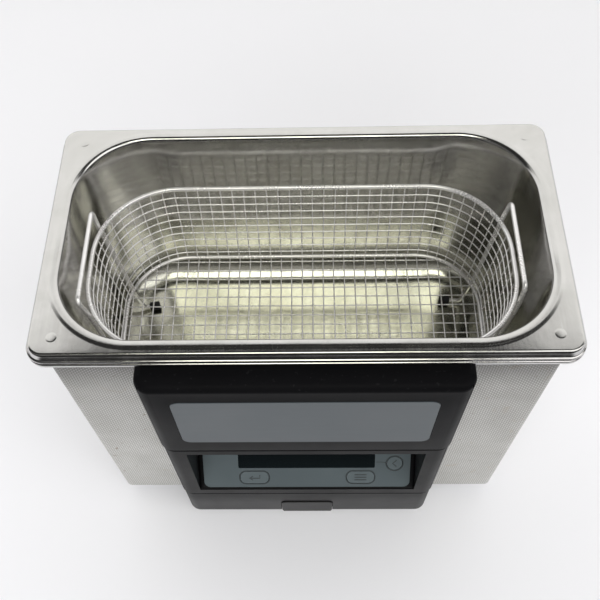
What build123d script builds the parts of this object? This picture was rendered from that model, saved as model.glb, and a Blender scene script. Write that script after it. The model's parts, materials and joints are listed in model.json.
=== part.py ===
from build123d import *
import math
import os

os.makedirs("parts", exist_ok=True)

# Bench-top ultrasonic cleaner. Millimetres, +Z up, -Y is the front.
# Drawn with the origin on the table 2.5 mm in front of the middle of the tank, then placed in the frame at the end.

# ---------------------------------------------------------------- driving sizes
SHEET = 0.8             # stainless sheet
RIM_X, RIM_Y = 325.0, 176.4
RIM_Z = 272.0           # highest line of the rim, the bead round the opening
RIM_R = 12.0            # outer corner of the rim, in plan
SKIRT = 10.0            # height of the rolled rim edge
BEAD_H = 0.8
EDGE = 2.6              # the flange stops this far inside the rolled rim edge
FLANGE_TOP = RIM_Z - BEAD_H
FLANGE_UNDER = FLANGE_TOP - SHEET
WALL_X, WALL_Y, WALL_R = 297.5, 151.0, 48.0   # inside of the pan at the top
ROLL_R = 5.0            # roll from the bead down into the pan
PAN_DEPTH = 150.0
PAN_FLOOR = RIM_Z - PAN_DEPTH
PAN_FLOOR_R = 20.0
DRAFT = 1.0

BODY_X, BODY_Y, BODY_R = 310.6, 159.0, 5.0
WRAP_BOTTOM, WRAP_TOP = 15.0, 269.2
MID = 2.5               # y of the middle of the tank and of the case
FRONT = MID - BODY_Y / 2     # outer face of the front sheet
BACK = MID + BODY_Y / 2

BK_X, BK_Y = -2.0, -2.0                       # where the loose basket stands
RIMW_X, RIMW_Y, RIMW_R = 276.0, 127.0, 54.0   # centre line of the basket rim wire
FLRW_X, FLRW_Y, FLRW_R = 262.0, 118.0, 46.0   # centre line of the floor frame wire
RIM_WIRE, FLR_WIRE, END_WIRE, MESH_WIRE = 1.6, 1.4, 1.6, 0.5   # wire radii
RIMW_Z, FLRW_Z = 240.4, 163.5
HOOPS = 9
HANDLE_Z, HANDLE_X = 257.5, 137.3

COVER_X, COVER_Y = 200.6, -100.0
BEZEL_X, BEZEL_Y = 199.0, -99.4
BASE_X, BASE_Y = 198.0, -99.0
HOUSING_BACK = FRONT - 0.1
COVER_Z0, COVER_Z1 = 159.4, 258.0
BEZEL_Z0, BEZEL_Z1 = 61.6, 158.0
BASE_Z0, BASE_Z1 = 15.0, 60.4
WALL = 2.5

TILT = 38.0             # display panel, back from upright
S, C = math.sin(math.radians(TILT)), math.cos(math.radians(TILT))
PANEL_Y, PANEL_Z = -96.0, 75.0


def pp(t, n):
    """(y, z) of a point t mm up the display panel and n mm out of its face."""
    return (PANEL_Y + t * S - n * C, PANEL_Z + t * C + n * S)


def panel(n=0.0):
    """Plane parallel to the display panel, n mm out of its face."""
    y, z = pp(0, n)
    return Plane(origin=(0, y, z), x_dir=(1, 0, 0), z_dir=(0, -C, S))


def ring_point(a, b, r, corner, k, m):
    """Point k of m on one piece of a rounded rectangle, as (x, y); corner 0-3 are arcs, 4-7 are sides."""
    if corner < 4:
        th = math.radians(90 * corner + 90 * (k + 0.5) / m)
        cx = (a - r) * (1 if corner in (0, 3) else -1)
        cy = (b - r) * (1 if corner in (0, 1) else -1)
        return cx + r * math.cos(th), cy + r * math.sin(th)
    f = (k + 0.5) / m * 2 - 1
    return {
        4: (f * (a - r), b), 5: (f * (a - r), -b),
        6: (a, f * (b - r)), 7: (-a, f * (b - r)),
    }[corner]


# ---------------------------------------------------------------- tank
# The hollow of the pan, drawn tapering to a rounded floor.
with BuildPart() as pan_inside:
    with BuildSketch(Plane.XY.offset(RIM_Z)):
        RectangleRounded(WALL_X, WALL_Y, WALL_R)
    extrude(amount=-PAN_DEPTH, taper=DRAFT)
    fillet(
        pan_inside.edges().filter_by_position(Axis.Z, PAN_FLOOR - 0.01, PAN_FLOOR + 0.01),
        radius=PAN_FLOOR_R,
    )

# Deep-drawn stainless pan: beaded opening, flat flange, rolled and stepped rim.
with BuildPart() as tank:
    with BuildSketch(Plane.XY.offset(FLANGE_UNDER)):
        RectangleRounded(WALL_X + 2 * SHEET, WALL_Y + 2 * SHEET, WALL_R + SHEET)
    extrude(amount=-(FLANGE_UNDER - PAN_FLOOR + SHEET), taper=DRAFT)
    fillet(
        tank.edges().filter_by_position(Axis.Z, PAN_FLOOR - SHEET - 0.01, PAN_FLOOR - SHEET + 0.01),
        radius=PAN_FLOOR_R + SHEET,
    )
    with BuildSketch(Plane.XY.offset(FLANGE_UNDER)):
        RectangleRounded(RIM_X - 2 * EDGE, RIM_Y - 2 * EDGE, RIM_R - EDGE)
    extrude(amount=SHEET)
    with BuildSketch(Plane.XY.offset(RIM_Z - SKIRT + 3.2)):
        RectangleRounded(RIM_X - 2 * EDGE, RIM_Y - 2 * EDGE, RIM_R - EDGE)
        RectangleRounded(RIM_X - 2 * EDGE - 2 * SHEET, RIM_Y - 2 * EDGE - 2 * SHEET, RIM_R - EDGE - SHEET, mode=Mode.SUBTRACT)
    extrude(amount=FLANGE_UNDER - (RIM_Z - SKIRT + 3.2))
    fillet(
        tank.edges()
        .filter_by_position(Axis.Z, FLANGE_UNDER - 0.01, FLANGE_UNDER + 0.01)
        .filter_by(lambda e: abs(e.center().X) > 154 or abs(e.center().Y) > 79.5),
        radius=1.7,
    )
    fillet(
        tank.edges()
        .filter_by_position(Axis.Z, FLANGE_UNDER - 0.01, FLANGE_UNDER + 0.01)
        .filter_by(lambda e: abs(e.center().X) < 151 and abs(e.center().Y) < 77.5),
        radius=ROLL_R - SHEET,
    )
    with BuildSketch(Plane.XY.offset(RIM_Z - SKIRT + 3.2)):
        RectangleRounded(RIM_X, RIM_Y, RIM_R)
        RectangleRounded(RIM_X - 2 * EDGE - 2 * SHEET, RIM_Y - 2 * EDGE - 2 * SHEET, RIM_R - EDGE - SHEET, mode=Mode.SUBTRACT)
    extrude(amount=SHEET)
    with BuildSketch(Plane.XY.offset(RIM_Z - SKIRT)):
        RectangleRounded(RIM_X, RIM_Y, RIM_R)
        RectangleRounded(RIM_X - 2 * SHEET, RIM_Y - 2 * SHEET, RIM_R - SHEET, mode=Mode.SUBTRACT)
    extrude(amount=3.3)
    fillet(
        tank.edges()
        .filter_by_position(Axis.Z, FLANGE_TOP - 0.01, FLANGE_TOP + 0.01)
        .filter_by(lambda e: abs(e.center().X) > 154 or abs(e.center().Y) > 79.5),
        radius=2.4,
    )
    # bead round the opening
    with BuildSketch(Plane.XY.offset(FLANGE_TOP - 0.2)):
        RectangleRounded(WALL_X + 14.4, WALL_Y + 14.4, WALL_R + 7.2)
    extrude(amount=BEAD_H + 0.2)
    fillet(tank.edges().filter_by_position(Axis.Z, RIM_Z - 0.01, RIM_Z + 0.01), radius=0.7)
    # stacking dimples in the flange corners
    with Locations(*[(x, y, FLANGE_TOP + 0.1) for x in (-146.4, 146.4) for y in (-74.2, 74.2)]):
        Cylinder(3.4, 0.8)
    # inside of the pan
    add(pan_inside.part, mode=Mode.SUBTRACT)
    fillet(
        tank.edges()
        .filter_by_position(Axis.Z, RIM_Z - 0.01, RIM_Z + 0.01)
        .filter_by(lambda e: (abs(e.center().X) < 136 and abs(e.center().Y) < 63)
                   or (abs(e.center().X) < 150 and abs(e.center().Y) < 1)
                   or (abs(e.center().X) < 1 and abs(e.center().Y) < 77)),
        radius=ROLL_R,
    )

# Silicone sealing bead under the flange, outside the top edge of the wrap.
with BuildPart() as rim_seal:
    with BuildSketch(Plane.XY.offset(WRAP_TOP - 1.6)):
        RectangleRounded(BODY_X + 4.4, BODY_Y + 4.4, BODY_R + 2.2)
        RectangleRounded(BODY_X + 0.1, BODY_Y + 0.1, BODY_R + 0.05, mode=Mode.SUBTRACT)
    extrude(amount=2.5)

# ---------------------------------------------------------------- body
HOUSING_SCREWS = [
    (x, z) for z in (246.0, 172.0) for x in (-88.0, 88.0)
] + [(x, z) for z in (146.0, 70.0) for x in (-92.2, 92.2)] + [(-80.0, 40.0), (80.0, 40.0)]
BASE_SCREWS = [(x, y) for x in (-148.0, 148.0) for y in (-40.0, 40.0)]
FEET = [(x, y) for x in (-128.0, 128.0) for y in (-52.0, 52.0)]
INLET_X, INLET_Z = -108.0, 62.0
SWITCH_X, SWITCH_Z = -66.0, 62.0

with BuildPart() as body_wrap:
    with BuildSketch(Plane((0, MID, WRAP_BOTTOM))):
        RectangleRounded(BODY_X, BODY_Y, BODY_R)
        RectangleRounded(BODY_X - 2 * SHEET, BODY_Y - 2 * SHEET, BODY_R - SHEET, mode=Mode.SUBTRACT)
    extrude(amount=WRAP_TOP - WRAP_BOTTOM)
    with BuildSketch(Plane((0, MID, WRAP_BOTTOM))):
        RectangleRounded(BODY_X, BODY_Y, BODY_R)
        RectangleRounded(BODY_X - 26, BODY_Y - 26, 3, mode=Mode.SUBTRACT)
    extrude(amount=SHEET)
    # window for the display module and slot for the card tray
    with Locations((0, FRONT, 92.0)):
        Box(176, 4, 60, mode=Mode.SUBTRACT)
    with Locations((0, FRONT, 20.0)):
        Box(44.4, 4, 7, mode=Mode.SUBTRACT)
    # housing screw holes
    with Locations(*[Plane(origin=(x, FRONT, z), z_dir=(0, 1, 0)) for x, z in HOUSING_SCREWS]):
        Cylinder(1.8, 4, mode=Mode.SUBTRACT)
    # power inlet, switch, inlet screws
    with Locations((INLET_X, BACK, INLET_Z)):
        Box(28.2, 4, 31.2, mode=Mode.SUBTRACT)
    with Locations(*[Plane(origin=(INLET_X + dx, BACK, INLET_Z), z_dir=(0, 1, 0)) for dx in (-20, 20)]):
        Cylinder(1.7, 4, mode=Mode.SUBTRACT)
    with Locations((SWITCH_X, BACK, SWITCH_Z)):
        Box(13.8, 4, 22.4, mode=Mode.SUBTRACT)
    # vent slots beside the generator
    with BuildSketch(Plane.XZ.offset(-BACK - 2)):
        with Locations((62, 62)):
            with GridLocations(9, 0, 11, 1):
                SlotOverall(30, 3.2, rotation=90)
    extrude(amount=4, mode=Mode.SUBTRACT)
    # flange screw holes
    with Locations(*[(x, y, WRAP_BOTTOM + 0.4) for x, y in BASE_SCREWS]):
        Cylinder(2.05, 3, mode=Mode.SUBTRACT)

with BuildPart() as base_plate:
    with BuildSketch(Plane.XY.offset(WRAP_BOTTOM - 1.0)):
        with Locations((0, MID)):
            RectangleRounded(BODY_X - 1.2, BODY_Y - 1.2, BODY_R - 0.6)
        with Locations(*FEET):
            Circle(2.2, mode=Mode.SUBTRACT)
        with Locations(*BASE_SCREWS):
            Circle(2.2, mode=Mode.SUBTRACT)
        with Locations((-60, 10)):
            with GridLocations(10, 0, 7, 1):
                SlotOverall(60, 4, rotation=90, mode=Mode.SUBTRACT)
        with Locations(*[(x, y) for x in (-15, 119) for y in (-30, 50)]):
            Circle(1.55, mode=Mode.SUBTRACT)
        with Locations((-130, 10)):
            Circle(2.1, mode=Mode.SUBTRACT)
    extrude(amount=0.95)

# Self-tapping screws that hold the base plate to the wrap's bottom flange.
with BuildPart() as base_screws:
    with Locations(*[(x, y, WRAP_BOTTOM - 2.0) for x, y in BASE_SCREWS]):
        Cylinder(3.6, 1.9)
    fillet(base_screws.edges().filter_by_position(Axis.Z, WRAP_BOTTOM - 3.0, WRAP_BOTTOM - 2.9), radius=0.8)
    with Locations(*[(x, y, WRAP_BOTTOM + 2.0) for x, y in BASE_SCREWS]):
        Cylinder(1.95, 6.2)
    with Locations(*[(x, y, WRAP_BOTTOM - 2.5) for x, y in BASE_SCREWS]):
        Box(4.4, 0.9, 1.0, mode=Mode.SUBTRACT)
        Box(0.9, 4.4, 1.0, mode=Mode.SUBTRACT)

with BuildPart() as rubber_feet:
    with BuildSketch(Plane.XY):
        with Locations(*FEET):
            Circle(10)
    extrude(amount=WRAP_BOTTOM - 1.05, taper=-6)
    fillet(rubber_feet.edges().filter_by_position(Axis.Z, -0.01, 0.01), radius=1.2)
    with Locations(*[(x, y, 4.0) for x, y in FEET]):
        Cylinder(5.0, 10.0, mode=Mode.SUBTRACT)
    with Locations(*[(x, y, 12.0) for x, y in FEET]):
        Cylinder(2.1, 10.0, mode=Mode.SUBTRACT)

with BuildPart() as foot_screws:
    with Locations(*[(x, y, 7.6) for x, y in FEET]):
        Cylinder(3.8, 2.6)
    with Locations(*[(x, y, 15.0) for x, y in FEET]):
        Cylinder(1.95, 12.6)
    with Locations(*[(x, y, 6.6) for x, y in FEET]):
        Box(5.0, 1.0, 1.4, mode=Mode.SUBTRACT)
        Box(1.0, 5.0, 1.4, mode=Mode.SUBTRACT)

with BuildPart() as foot_nuts:
    with BuildSketch(Plane.XY.offset(WRAP_BOTTOM)):
        with Locations(*FEET):
            RegularPolygon(4.0, 6)
            Circle(2.0, mode=Mode.SUBTRACT)
    extrude(amount=3.2)

# ---------------------------------------------------------------- basket
with BuildPart() as basket_rim_wire:
    with BuildLine(Plane(origin=(BK_X, BK_Y, RIMW_Z))) as rim_path:
        a, b = RIMW_X / 2, RIMW_Y / 2
        FilletPolyline((-a, -b), (a, -b), (a, b), (-a, b), radius=RIMW_R, close=True)
    with BuildSketch(Plane(origin=rim_path.wire() @ 0, z_dir=rim_path.wire() % 0)):
        Circle(RIM_WIRE)
    sweep(path=rim_path.wire())

with BuildPart() as basket_floor_frame:
    with BuildLine(Plane(origin=(BK_X, BK_Y, FLRW_Z))) as floor_path:
        a, b = FLRW_X / 2, FLRW_Y / 2
        FilletPolyline((-a, -b), (a, -b), (a, b), (-a, b), radius=FLRW_R, close=True)
    with BuildSketch(Plane(origin=floor_path.wire() @ 0, z_dir=floor_path.wire() % 0)):
        Circle(FLR_WIRE)
    sweep(path=floor_path.wire())

# Level wires of the wall, welded to the inside of the uprights.
with BuildPart() as basket_hoop_wires:
    for i in range(1, HOOPS + 1):
        f = i / (HOOPS + 1)
        a = (FLRW_X + (RIMW_X - FLRW_X) * f) / 2 - 0.85
        b = (FLRW_Y + (RIMW_Y - FLRW_Y) * f) / 2 - 0.85
        r = FLRW_R + (RIMW_R - FLRW_R) * f - 0.85
        with BuildLine(Plane(origin=(BK_X, BK_Y, FLRW_Z + (RIMW_Z - FLRW_Z) * f))) as hoop:
            FilletPolyline((-a, -b), (a, -b), (a, b), (-a, b), radius=r, close=True)
        with BuildSketch(Plane(origin=hoop.wire() @ 0, z_dir=hoop.wire() % 0)):
            Circle(MESH_WIRE)
        sweep(path=hoop.wire())

# Upright wires of the wall, between the floor frame and the rim wire.
upright_planes = []
for corner, m in ((0, 10), (1, 10), (2, 10), (3, 10), (4, 21), (5, 21), (6, 2), (7, 2)):
    for k in range(m):
        x1, y1 = ring_point(RIMW_X / 2, RIMW_Y / 2, RIMW_R, corner, k, m)
        x0, y0 = ring_point(FLRW_X / 2, FLRW_Y / 2, FLRW_R, corner, k, m)
        upright_planes.append(Plane(
            origin=(BK_X + (x0 + x1) / 2, BK_Y + (y0 + y1) / 2, (RIMW_Z + FLRW_Z) / 2),
            z_dir=(x1 - x0, y1 - y0, RIMW_Z - FLRW_Z),
        ))
with BuildPart() as basket_upright_wires:
    with Locations(*upright_planes):
        Cylinder(MESH_WIRE, RIMW_Z - FLRW_Z - RIM_WIRE - FLR_WIRE - 0.2)

# Welded grid of the basket floor, on an 8 mm pitch.
with BuildPart() as basket_floor_mesh:
    with BuildSketch(Plane(origin=(BK_X, BK_Y, FLRW_Z - FLR_WIRE - 1.05))) as floor_grid:
        RectangleRounded(FLRW_X + 1, FLRW_Y + 1, FLRW_R + 0.5)
        with BuildSketch(mode=Mode.PRIVATE) as cells:
            with GridLocations(8, 8, 32, 14):
                Rectangle(7, 7)
            RectangleRounded(FLRW_X - 1.4, FLRW_Y - 1.4, FLRW_R - 0.7, mode=Mode.INTERSECT)
        add(cells.sketch, mode=Mode.SUBTRACT)
    extrude(amount=1.0)


def loop_x(width, depth, r, y):
    """Half width of a rounded rectangular wire loop, at y from its middle."""
    over = abs(y) - (depth / 2 - r)
    return width / 2 if over <= 0 else width / 2 - r + math.sqrt(r * r - over * over)


# Handle corners of the two end wires, (y at the back, y at the front) from the basket's middle; both are bent by hand.
HANDLE_ENDS = {-1: (32.0, -37.5), 1: (35.5, -30.0)}


def end_wire_points(side):
    """Corner points of one end wire: foot, up the end wall, over as the handle, down to the other foot."""
    legs = []
    for y in HANDLE_ENDS[side]:
        way = 1 if y > 0 else -1
        low = loop_x(FLRW_X, FLRW_Y, FLRW_R, y) + FLR_WIRE + END_WIRE + 0.3
        high = loop_x(RIMW_X, RIMW_Y, RIMW_R, y) + RIM_WIRE + END_WIRE + 0.5
        foot = abs(y) + 5.0
        legs.append([
            (low - (12.6 if side < 0 else 17.0), foot * way + 1.5, PAN_FLOOR + 3.45),
            (low - 3.1, (foot - 1.5) * way + 1.5, PAN_FLOOR + 3.45),
            (low, y, 158.0),
            (high, y, 240.4),
            (HANDLE_X, y, HANDLE_Z),
        ])
    pts = legs[0] + legs[1][::-1]
    return [(BK_X + side * x, BK_Y + y, z) for x, y, z in pts]


# Each end wire is one bent rod: two feet and a carrying handle.
with BuildPart() as basket_end_wire_left:
    with BuildLine() as left_path:
        FilletPolyline(*end_wire_points(-1), radius=4.0)
    with BuildSketch(Plane(origin=left_path.wire() @ 0, z_dir=left_path.wire() % 0)):
        Circle(END_WIRE)
    sweep(path=left_path.wire())

with BuildPart() as basket_end_wire_right:
    with BuildLine() as right_path:
        FilletPolyline(*end_wire_points(1), radius=4.0)
    with BuildSketch(Plane(origin=right_path.wire() @ 0, z_dir=right_path.wire() % 0)):
        Circle(END_WIRE)
    sweep(path=right_path.wire())

tip_planes = []
for side in (-1, 1):
    pts = [Vector(*p) for p in end_wire_points(side)]
    for p, q in ((pts[0], pts[1]), (pts[-1], pts[-2])):
        d = (q - p).normalized()
        tip_planes.append(Plane(origin=tuple(p + d * 1.6), z_dir=tuple(d)))
with BuildPart() as basket_foot_tips:
    with Locations(*tip_planes):
        Cylinder(3.35, 8.0)
    fillet(basket_foot_tips.edges(), radius=1.2)
    with Locations(*[Plane(origin=p.origin + p.z_dir * 3.9, z_dir=p.z_dir) for p in tip_planes]):
        Cylinder(END_WIRE + 0.02, 11.1, mode=Mode.SUBTRACT)

# ---------------------------------------------------------------- housing
PLATE_X, PLATE_Z, PLATE_H = 162.0, 208.6, 64.0

# Upper cover with its rounded cap and the shallow pocket for the plate.
with BuildPart() as housing_cover:
    with BuildSketch(Plane.XY.offset(COVER_Z0)) as cover_plan:
        with Locations((0, (COVER_Y + HOUSING_BACK) / 2)):
            Rectangle(COVER_X, HOUSING_BACK - COVER_Y)
        fillet(cover_plan.vertices().sort_by(Axis.Y)[:2], radius=10)
    extrude(amount=COVER_Z1 - COVER_Z0)
    fillet(
        housing_cover.edges().filter_by_position(Axis.Z, COVER_Z1 - 0.01, COVER_Z1 + 0.01)
        .filter_by(lambda e: e.center().Y < HOUSING_BACK - 1),
        radius=5.0,
    )
    fillet(
        housing_cover.edges().filter_by_position(Axis.Z, COVER_Z0 - 0.01, COVER_Z0 + 0.01)
        .filter_by(lambda e: e.center().Y < HOUSING_BACK - 1),
        radius=1.4,
    )
    with Locations((0, (COVER_Y + WALL + 0.4 + FRONT) / 2, (COVER_Z0 + COVER_Z1) / 2)):
        Box(COVER_X - 2 * WALL, FRONT - COVER_Y - WALL - 0.4, COVER_Z1 - COVER_Z0 - 2 * WALL, mode=Mode.SUBTRACT)
    with Locations(*[Plane(origin=(x, (-97.6 + HOUSING_BACK) / 2, z), z_dir=(0, 1, 0)) for x, z in HOUSING_SCREWS[:4]]):
        Cylinder(4.0, HOUSING_BACK + 97.6)
    with Locations(*[Plane(origin=(x, -85.0, z), z_dir=(0, 1, 0)) for x, z in HOUSING_SCREWS[:4]]):
        Cylinder(1.52, 18, mode=Mode.SUBTRACT)
    with BuildSketch(Plane.XZ.offset(-COVER_Y - 0.6)):
        with Locations((0, PLATE_Z)):
            RectangleRounded(PLATE_X + 0.6, PLATE_H + 0.6, 6.3)
    extrude(amount=2, mode=Mode.SUBTRACT)

with BuildPart() as label_plate:
    with BuildSketch(Plane.XZ.offset(-COVER_Y - 0.58)):
        with Locations((0, PLATE_Z)):
            RectangleRounded(PLATE_X, PLATE_H, 6.0)
    extrude(amount=0.9)
    chamfer(label_plate.faces().sort_by(Axis.Y)[0].edges(), length=0.2)

RECESS = [(-103, 71.4), (-98.6, 71.6), pp(-3.0, -0.5), pp(42, -0.5), pp(42, 6.0), (-80.0, 121.0), (-80.0, 150.2), (-103, 150.2)]
RECESS_OUT = [(-97.0, 66.0), (-94.0, 66.0), pp(-1.0, -3.0), pp(44.2, -3.0), pp(44.2, 6.9), (-77.6, 121.6), (-77.6, 153.0), (-97.0, 153.0)]
LCD_T, LCD_W, LCD_H = 25.5, 105.0, 22.0
ENTER = (-40.3, 6.0, 22.0, 10.6)
MENU = (41.7, 6.0, 21.0, 10.6)
BACKB = (67.6, 18.4, 5.85)

# Middle section: a tray-like recess with the display panel leaning back in it.
with BuildPart() as housing_bezel:
    with BuildSketch(Plane.XY.offset(BEZEL_Z0)) as bezel_plan:
        with Locations((0, (BEZEL_Y + HOUSING_BACK) / 2)):
            Rectangle(BEZEL_X, HOUSING_BACK - BEZEL_Y)
        fillet(bezel_plan.vertices().sort_by(Axis.Y)[:2], radius=9.5)
    extrude(amount=BEZEL_Z1 - BEZEL_Z0)
    fillet(
        housing_bezel.edges().filter_by_position(Axis.Z, BEZEL_Z1 - 0.01, BEZEL_Z1 + 0.01)
        .filter_by(lambda e: e.center().Y < HOUSING_BACK - 1),
        radius=1.6,
    )
    fillet(
        housing_bezel.edges().filter_by_position(Axis.Z, BEZEL_Z0 - 0.01, BEZEL_Z0 + 0.01)
        .filter_by(lambda e: e.center().Y < HOUSING_BACK - 1),
        radius=0.8,
    )
    with Locations((0, (BEZEL_Y + WALL + FRONT) / 2, (BEZEL_Z0 + BEZEL_Z1) / 2)):
        Box(BEZEL_X - 2 * WALL, FRONT - BEZEL_Y - WALL, BEZEL_Z1 - BEZEL_Z0 - 2 * WALL, mode=Mode.SUBTRACT)
    with BuildSketch(Plane.YZ.offset(-85.5)):
        with BuildLine():
            Polyline(*RECESS_OUT, close=True)
        make_face()
    extrude(amount=171)
    with Locations(*[Plane(origin=(x, (-97.2 + HOUSING_BACK) / 2, z), z_dir=(0, 1, 0)) for x, z in HOUSING_SCREWS[4:8]]):
        Cylinder(4.0, HOUSING_BACK + 97.2)
    with BuildSketch(Plane.YZ.offset(-83)):
        with BuildLine():
            Polyline(*RECESS, close=True)
        make_face()
    extrude(amount=166, mode=Mode.SUBTRACT)
    with Locations(*[Plane(origin=(x, -85.0, z), z_dir=(0, 1, 0)) for x, z in HOUSING_SCREWS[4:8]]):
        Cylinder(1.52, 18, mode=Mode.SUBTRACT)
    with BuildSketch(panel(-3.5)):
        with Locations((0, LCD_T)):
            RectangleRounded(LCD_W + 0.6, LCD_H + 0.6, 1.3)
        with Locations(ENTER[:2]):
            RectangleRounded(ENTER[2] + 0.7, ENTER[3] + 0.7, 4.85)
        with Locations(MENU[:2]):
            RectangleRounded(MENU[2] + 0.7, MENU[3] + 0.7, 4.85)
        with Locations(BACKB[:2]):
            Circle(BACKB[2] + 0.35)
    extrude(amount=4, mode=Mode.SUBTRACT)

TAB_X, TAB_TOP = 41.6, 39.5
# Lower section with the mouth of the card tray.
with BuildPart() as housing_base:
    with BuildSketch(Plane.XY.offset(BASE_Z0)) as base_plan:
        with Locations((0, (BASE_Y + HOUSING_BACK) / 2)):
            Rectangle(BASE_X, HOUSING_BACK - BASE_Y)
        fillet(base_plan.vertices().sort_by(Axis.Y)[:2], radius=9.5)
    extrude(amount=BASE_Z1 - BASE_Z0)
    fillet(
        housing_base.edges().filter_by_position(Axis.Z, BASE_Z1 - 0.01, BASE_Z1 + 0.01)
        .filter_by(lambda e: e.center().Y < HOUSING_BACK - 1),
        radius=1.6,
    )
    fillet(
        housing_base.edges().filter_by_position(Axis.Z, BASE_Z0 - 0.01, BASE_Z0 + 0.01)
        .filter_by(lambda e: e.center().Y < HOUSING_BACK - 1),
        radius=1.6,
    )
    with Locations((0, (BASE_Y + WALL + FRONT) / 2, (BASE_Z0 + BASE_Z1) / 2)):
        Box(BASE_X - 2 * WALL, FRONT - BASE_Y - WALL, BASE_Z1 - BASE_Z0 - 2 * WALL, mode=Mode.SUBTRACT)
    with Locations(*[Plane(origin=(x, (-97.0 + HOUSING_BACK) / 2, z), z_dir=(0, 1, 0)) for x, z in HOUSING_SCREWS[8:]]):
        Cylinder(4.0, HOUSING_BACK + 97.0)
    with Locations(*[Plane(origin=(x, -85.0, z), z_dir=(0, 1, 0)) for x, z in HOUSING_SCREWS[8:]]):
        Cylinder(1.52, 18, mode=Mode.SUBTRACT)
    with BuildSketch(Plane.XZ.offset(-BASE_Y - 3)):
        with Locations((0, (TAB_TOP + 0.4 + 10) / 2)):
            RectangleRounded(TAB_X + 0.8, TAB_TOP + 0.4 - 10, 4.4)
    extrude(amount=4, mode=Mode.SUBTRACT)
    with Locations((21.9, -87.0, 20.0), (-21.9, -87.0, 20.0)):
        Box(1.6, 18.0, 6.0)

with BuildPart() as card_tray:
    with BuildSketch(Plane.XZ.offset(97.4)):
        with Locations((0, (TAB_TOP + 14.4) / 2)):
            RectangleRounded(TAB_X, TAB_TOP - 14.4, 4.0)
    extrude(amount=2.6)
    fillet(card_tray.faces().sort_by(Axis.Y)[0].edges(), radius=0.7)
    with Locations((0, -68.0, 18.4)):
        Box(39.0, 59.0, 1.2)
    with Locations((19.0, -68.0, 19.9), (-19.0, -68.0, 19.9)):
        Box(1.0, 59.0, 1.8)
    with Locations((0, -39.0, 21.8)):
        Box(39.0, 1.0, 5.6)
    with Locations((18.4, -98.8, 14.1), (-18.4, -98.8, 14.1)):
        Box(3.0, 1.6, 1.2)

with BuildPart() as reference_card:
    with BuildSketch(Plane.XY.offset(19.05)):
        with Locations((0, -67.5)):
            RectangleRounded(36.4, 54.0, 2.0)
    extrude(amount=0.5)

# ---------------------------------------------------------------- display
with BuildPart() as display_overlay:
    with BuildSketch(panel(-0.45)):
        with Locations((0, 18.75)):
            RectangleRounded(159.2, 43.1, 5.0)
        with Locations((0, LCD_T)):
            RectangleRounded(LCD_W + 0.1, LCD_H + 0.1, 1.05, mode=Mode.SUBTRACT)
        with Locations(ENTER[:2]):
            RectangleRounded(ENTER[2] + 0.7, ENTER[3] + 0.7, 4.85, mode=Mode.SUBTRACT)
        with Locations(MENU[:2]):
            RectangleRounded(MENU[2] + 0.7, MENU[3] + 0.7, 4.85, mode=Mode.SUBTRACT)
        with Locations(BACKB[:2]):
            Circle(BACKB[2] + 0.35, mode=Mode.SUBTRACT)
    extrude(amount=0.45)

with BuildPart() as lcd_window:
    with BuildSketch(panel(-1.4)):
        with Locations((0, LCD_T)):
            RectangleRounded(LCD_W, LCD_H, 1.0)
    extrude(amount=1.35)

with BuildPart() as lcd_module:
    with BuildSketch(panel(-6.2)):
        with Locations((0, LCD_T)):
            Rectangle(LCD_W + 14, LCD_H + 4.4)
    extrude(amount=3.1)
    with BuildSketch(panel(-3.2)):
        with Locations((0, LCD_T)):
            Rectangle(LCD_W - 0.6, LCD_H - 0.6)
    extrude(amount=1.7)

with BuildPart() as keypad_pcb:
    with BuildSketch(panel(-8.2)):
        with Locations((2, 17.0)):
            Rectangle(156, 40)
    extrude(amount=1.6)

# Each cap runs in the overlay's hole and keeps a collar behind the bezel wall.
with BuildPart() as enter_button:
    with BuildSketch(panel(-3.1)):
        with Locations(ENTER[:2]):
            RectangleRounded(ENTER[2], ENTER[3], 4.5)
    extrude(amount=3.25)
    fillet(enter_button.faces().sort_by(Axis((0, 0, 0), (0, -C, S)))[-1].edges(), radius=0.25)
    with BuildSketch(panel(-3.9)):
        with Locations(ENTER[:2]):
            RectangleRounded(ENTER[2] + 2.4, ENTER[3] + 1.6, 5.2)
    extrude(amount=0.8)

with BuildPart() as menu_button:
    with BuildSketch(panel(-3.1)):
        with Locations(MENU[:2]):
            RectangleRounded(MENU[2], MENU[3], 4.5)
    extrude(amount=3.25)
    fillet(menu_button.faces().sort_by(Axis((0, 0, 0), (0, -C, S)))[-1].edges(), radius=0.25)
    with BuildSketch(panel(-3.9)):
        with Locations(MENU[:2]):
            RectangleRounded(MENU[2] + 2.4, MENU[3] + 1.6, 5.2)
    extrude(amount=0.8)

with BuildPart() as back_button:
    with BuildSketch(panel(-3.1)):
        with Locations(BACKB[:2]):
            Circle(BACKB[2])
    extrude(amount=3.25)
    fillet(back_button.faces().sort_by(Axis((0, 0, 0), (0, -C, S)))[-1].edges(), radius=0.25)
    with BuildSketch(panel(-3.9)):
        with Locations(BACKB[:2]):
            Circle(BACKB[2] + 1.2)
    extrude(amount=0.8)

with BuildPart() as tact_switches:
    with BuildSketch(panel(-6.55)):
        with Locations(ENTER[:2], MENU[:2], BACKB[:2]):
            Rectangle(6, 6)
    extrude(amount=1.5)
    with BuildSketch(panel(-5.1)):
        with Locations(ENTER[:2], MENU[:2], BACKB[:2]):
            Circle(1.7)
    extrude(amount=0.6)

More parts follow.
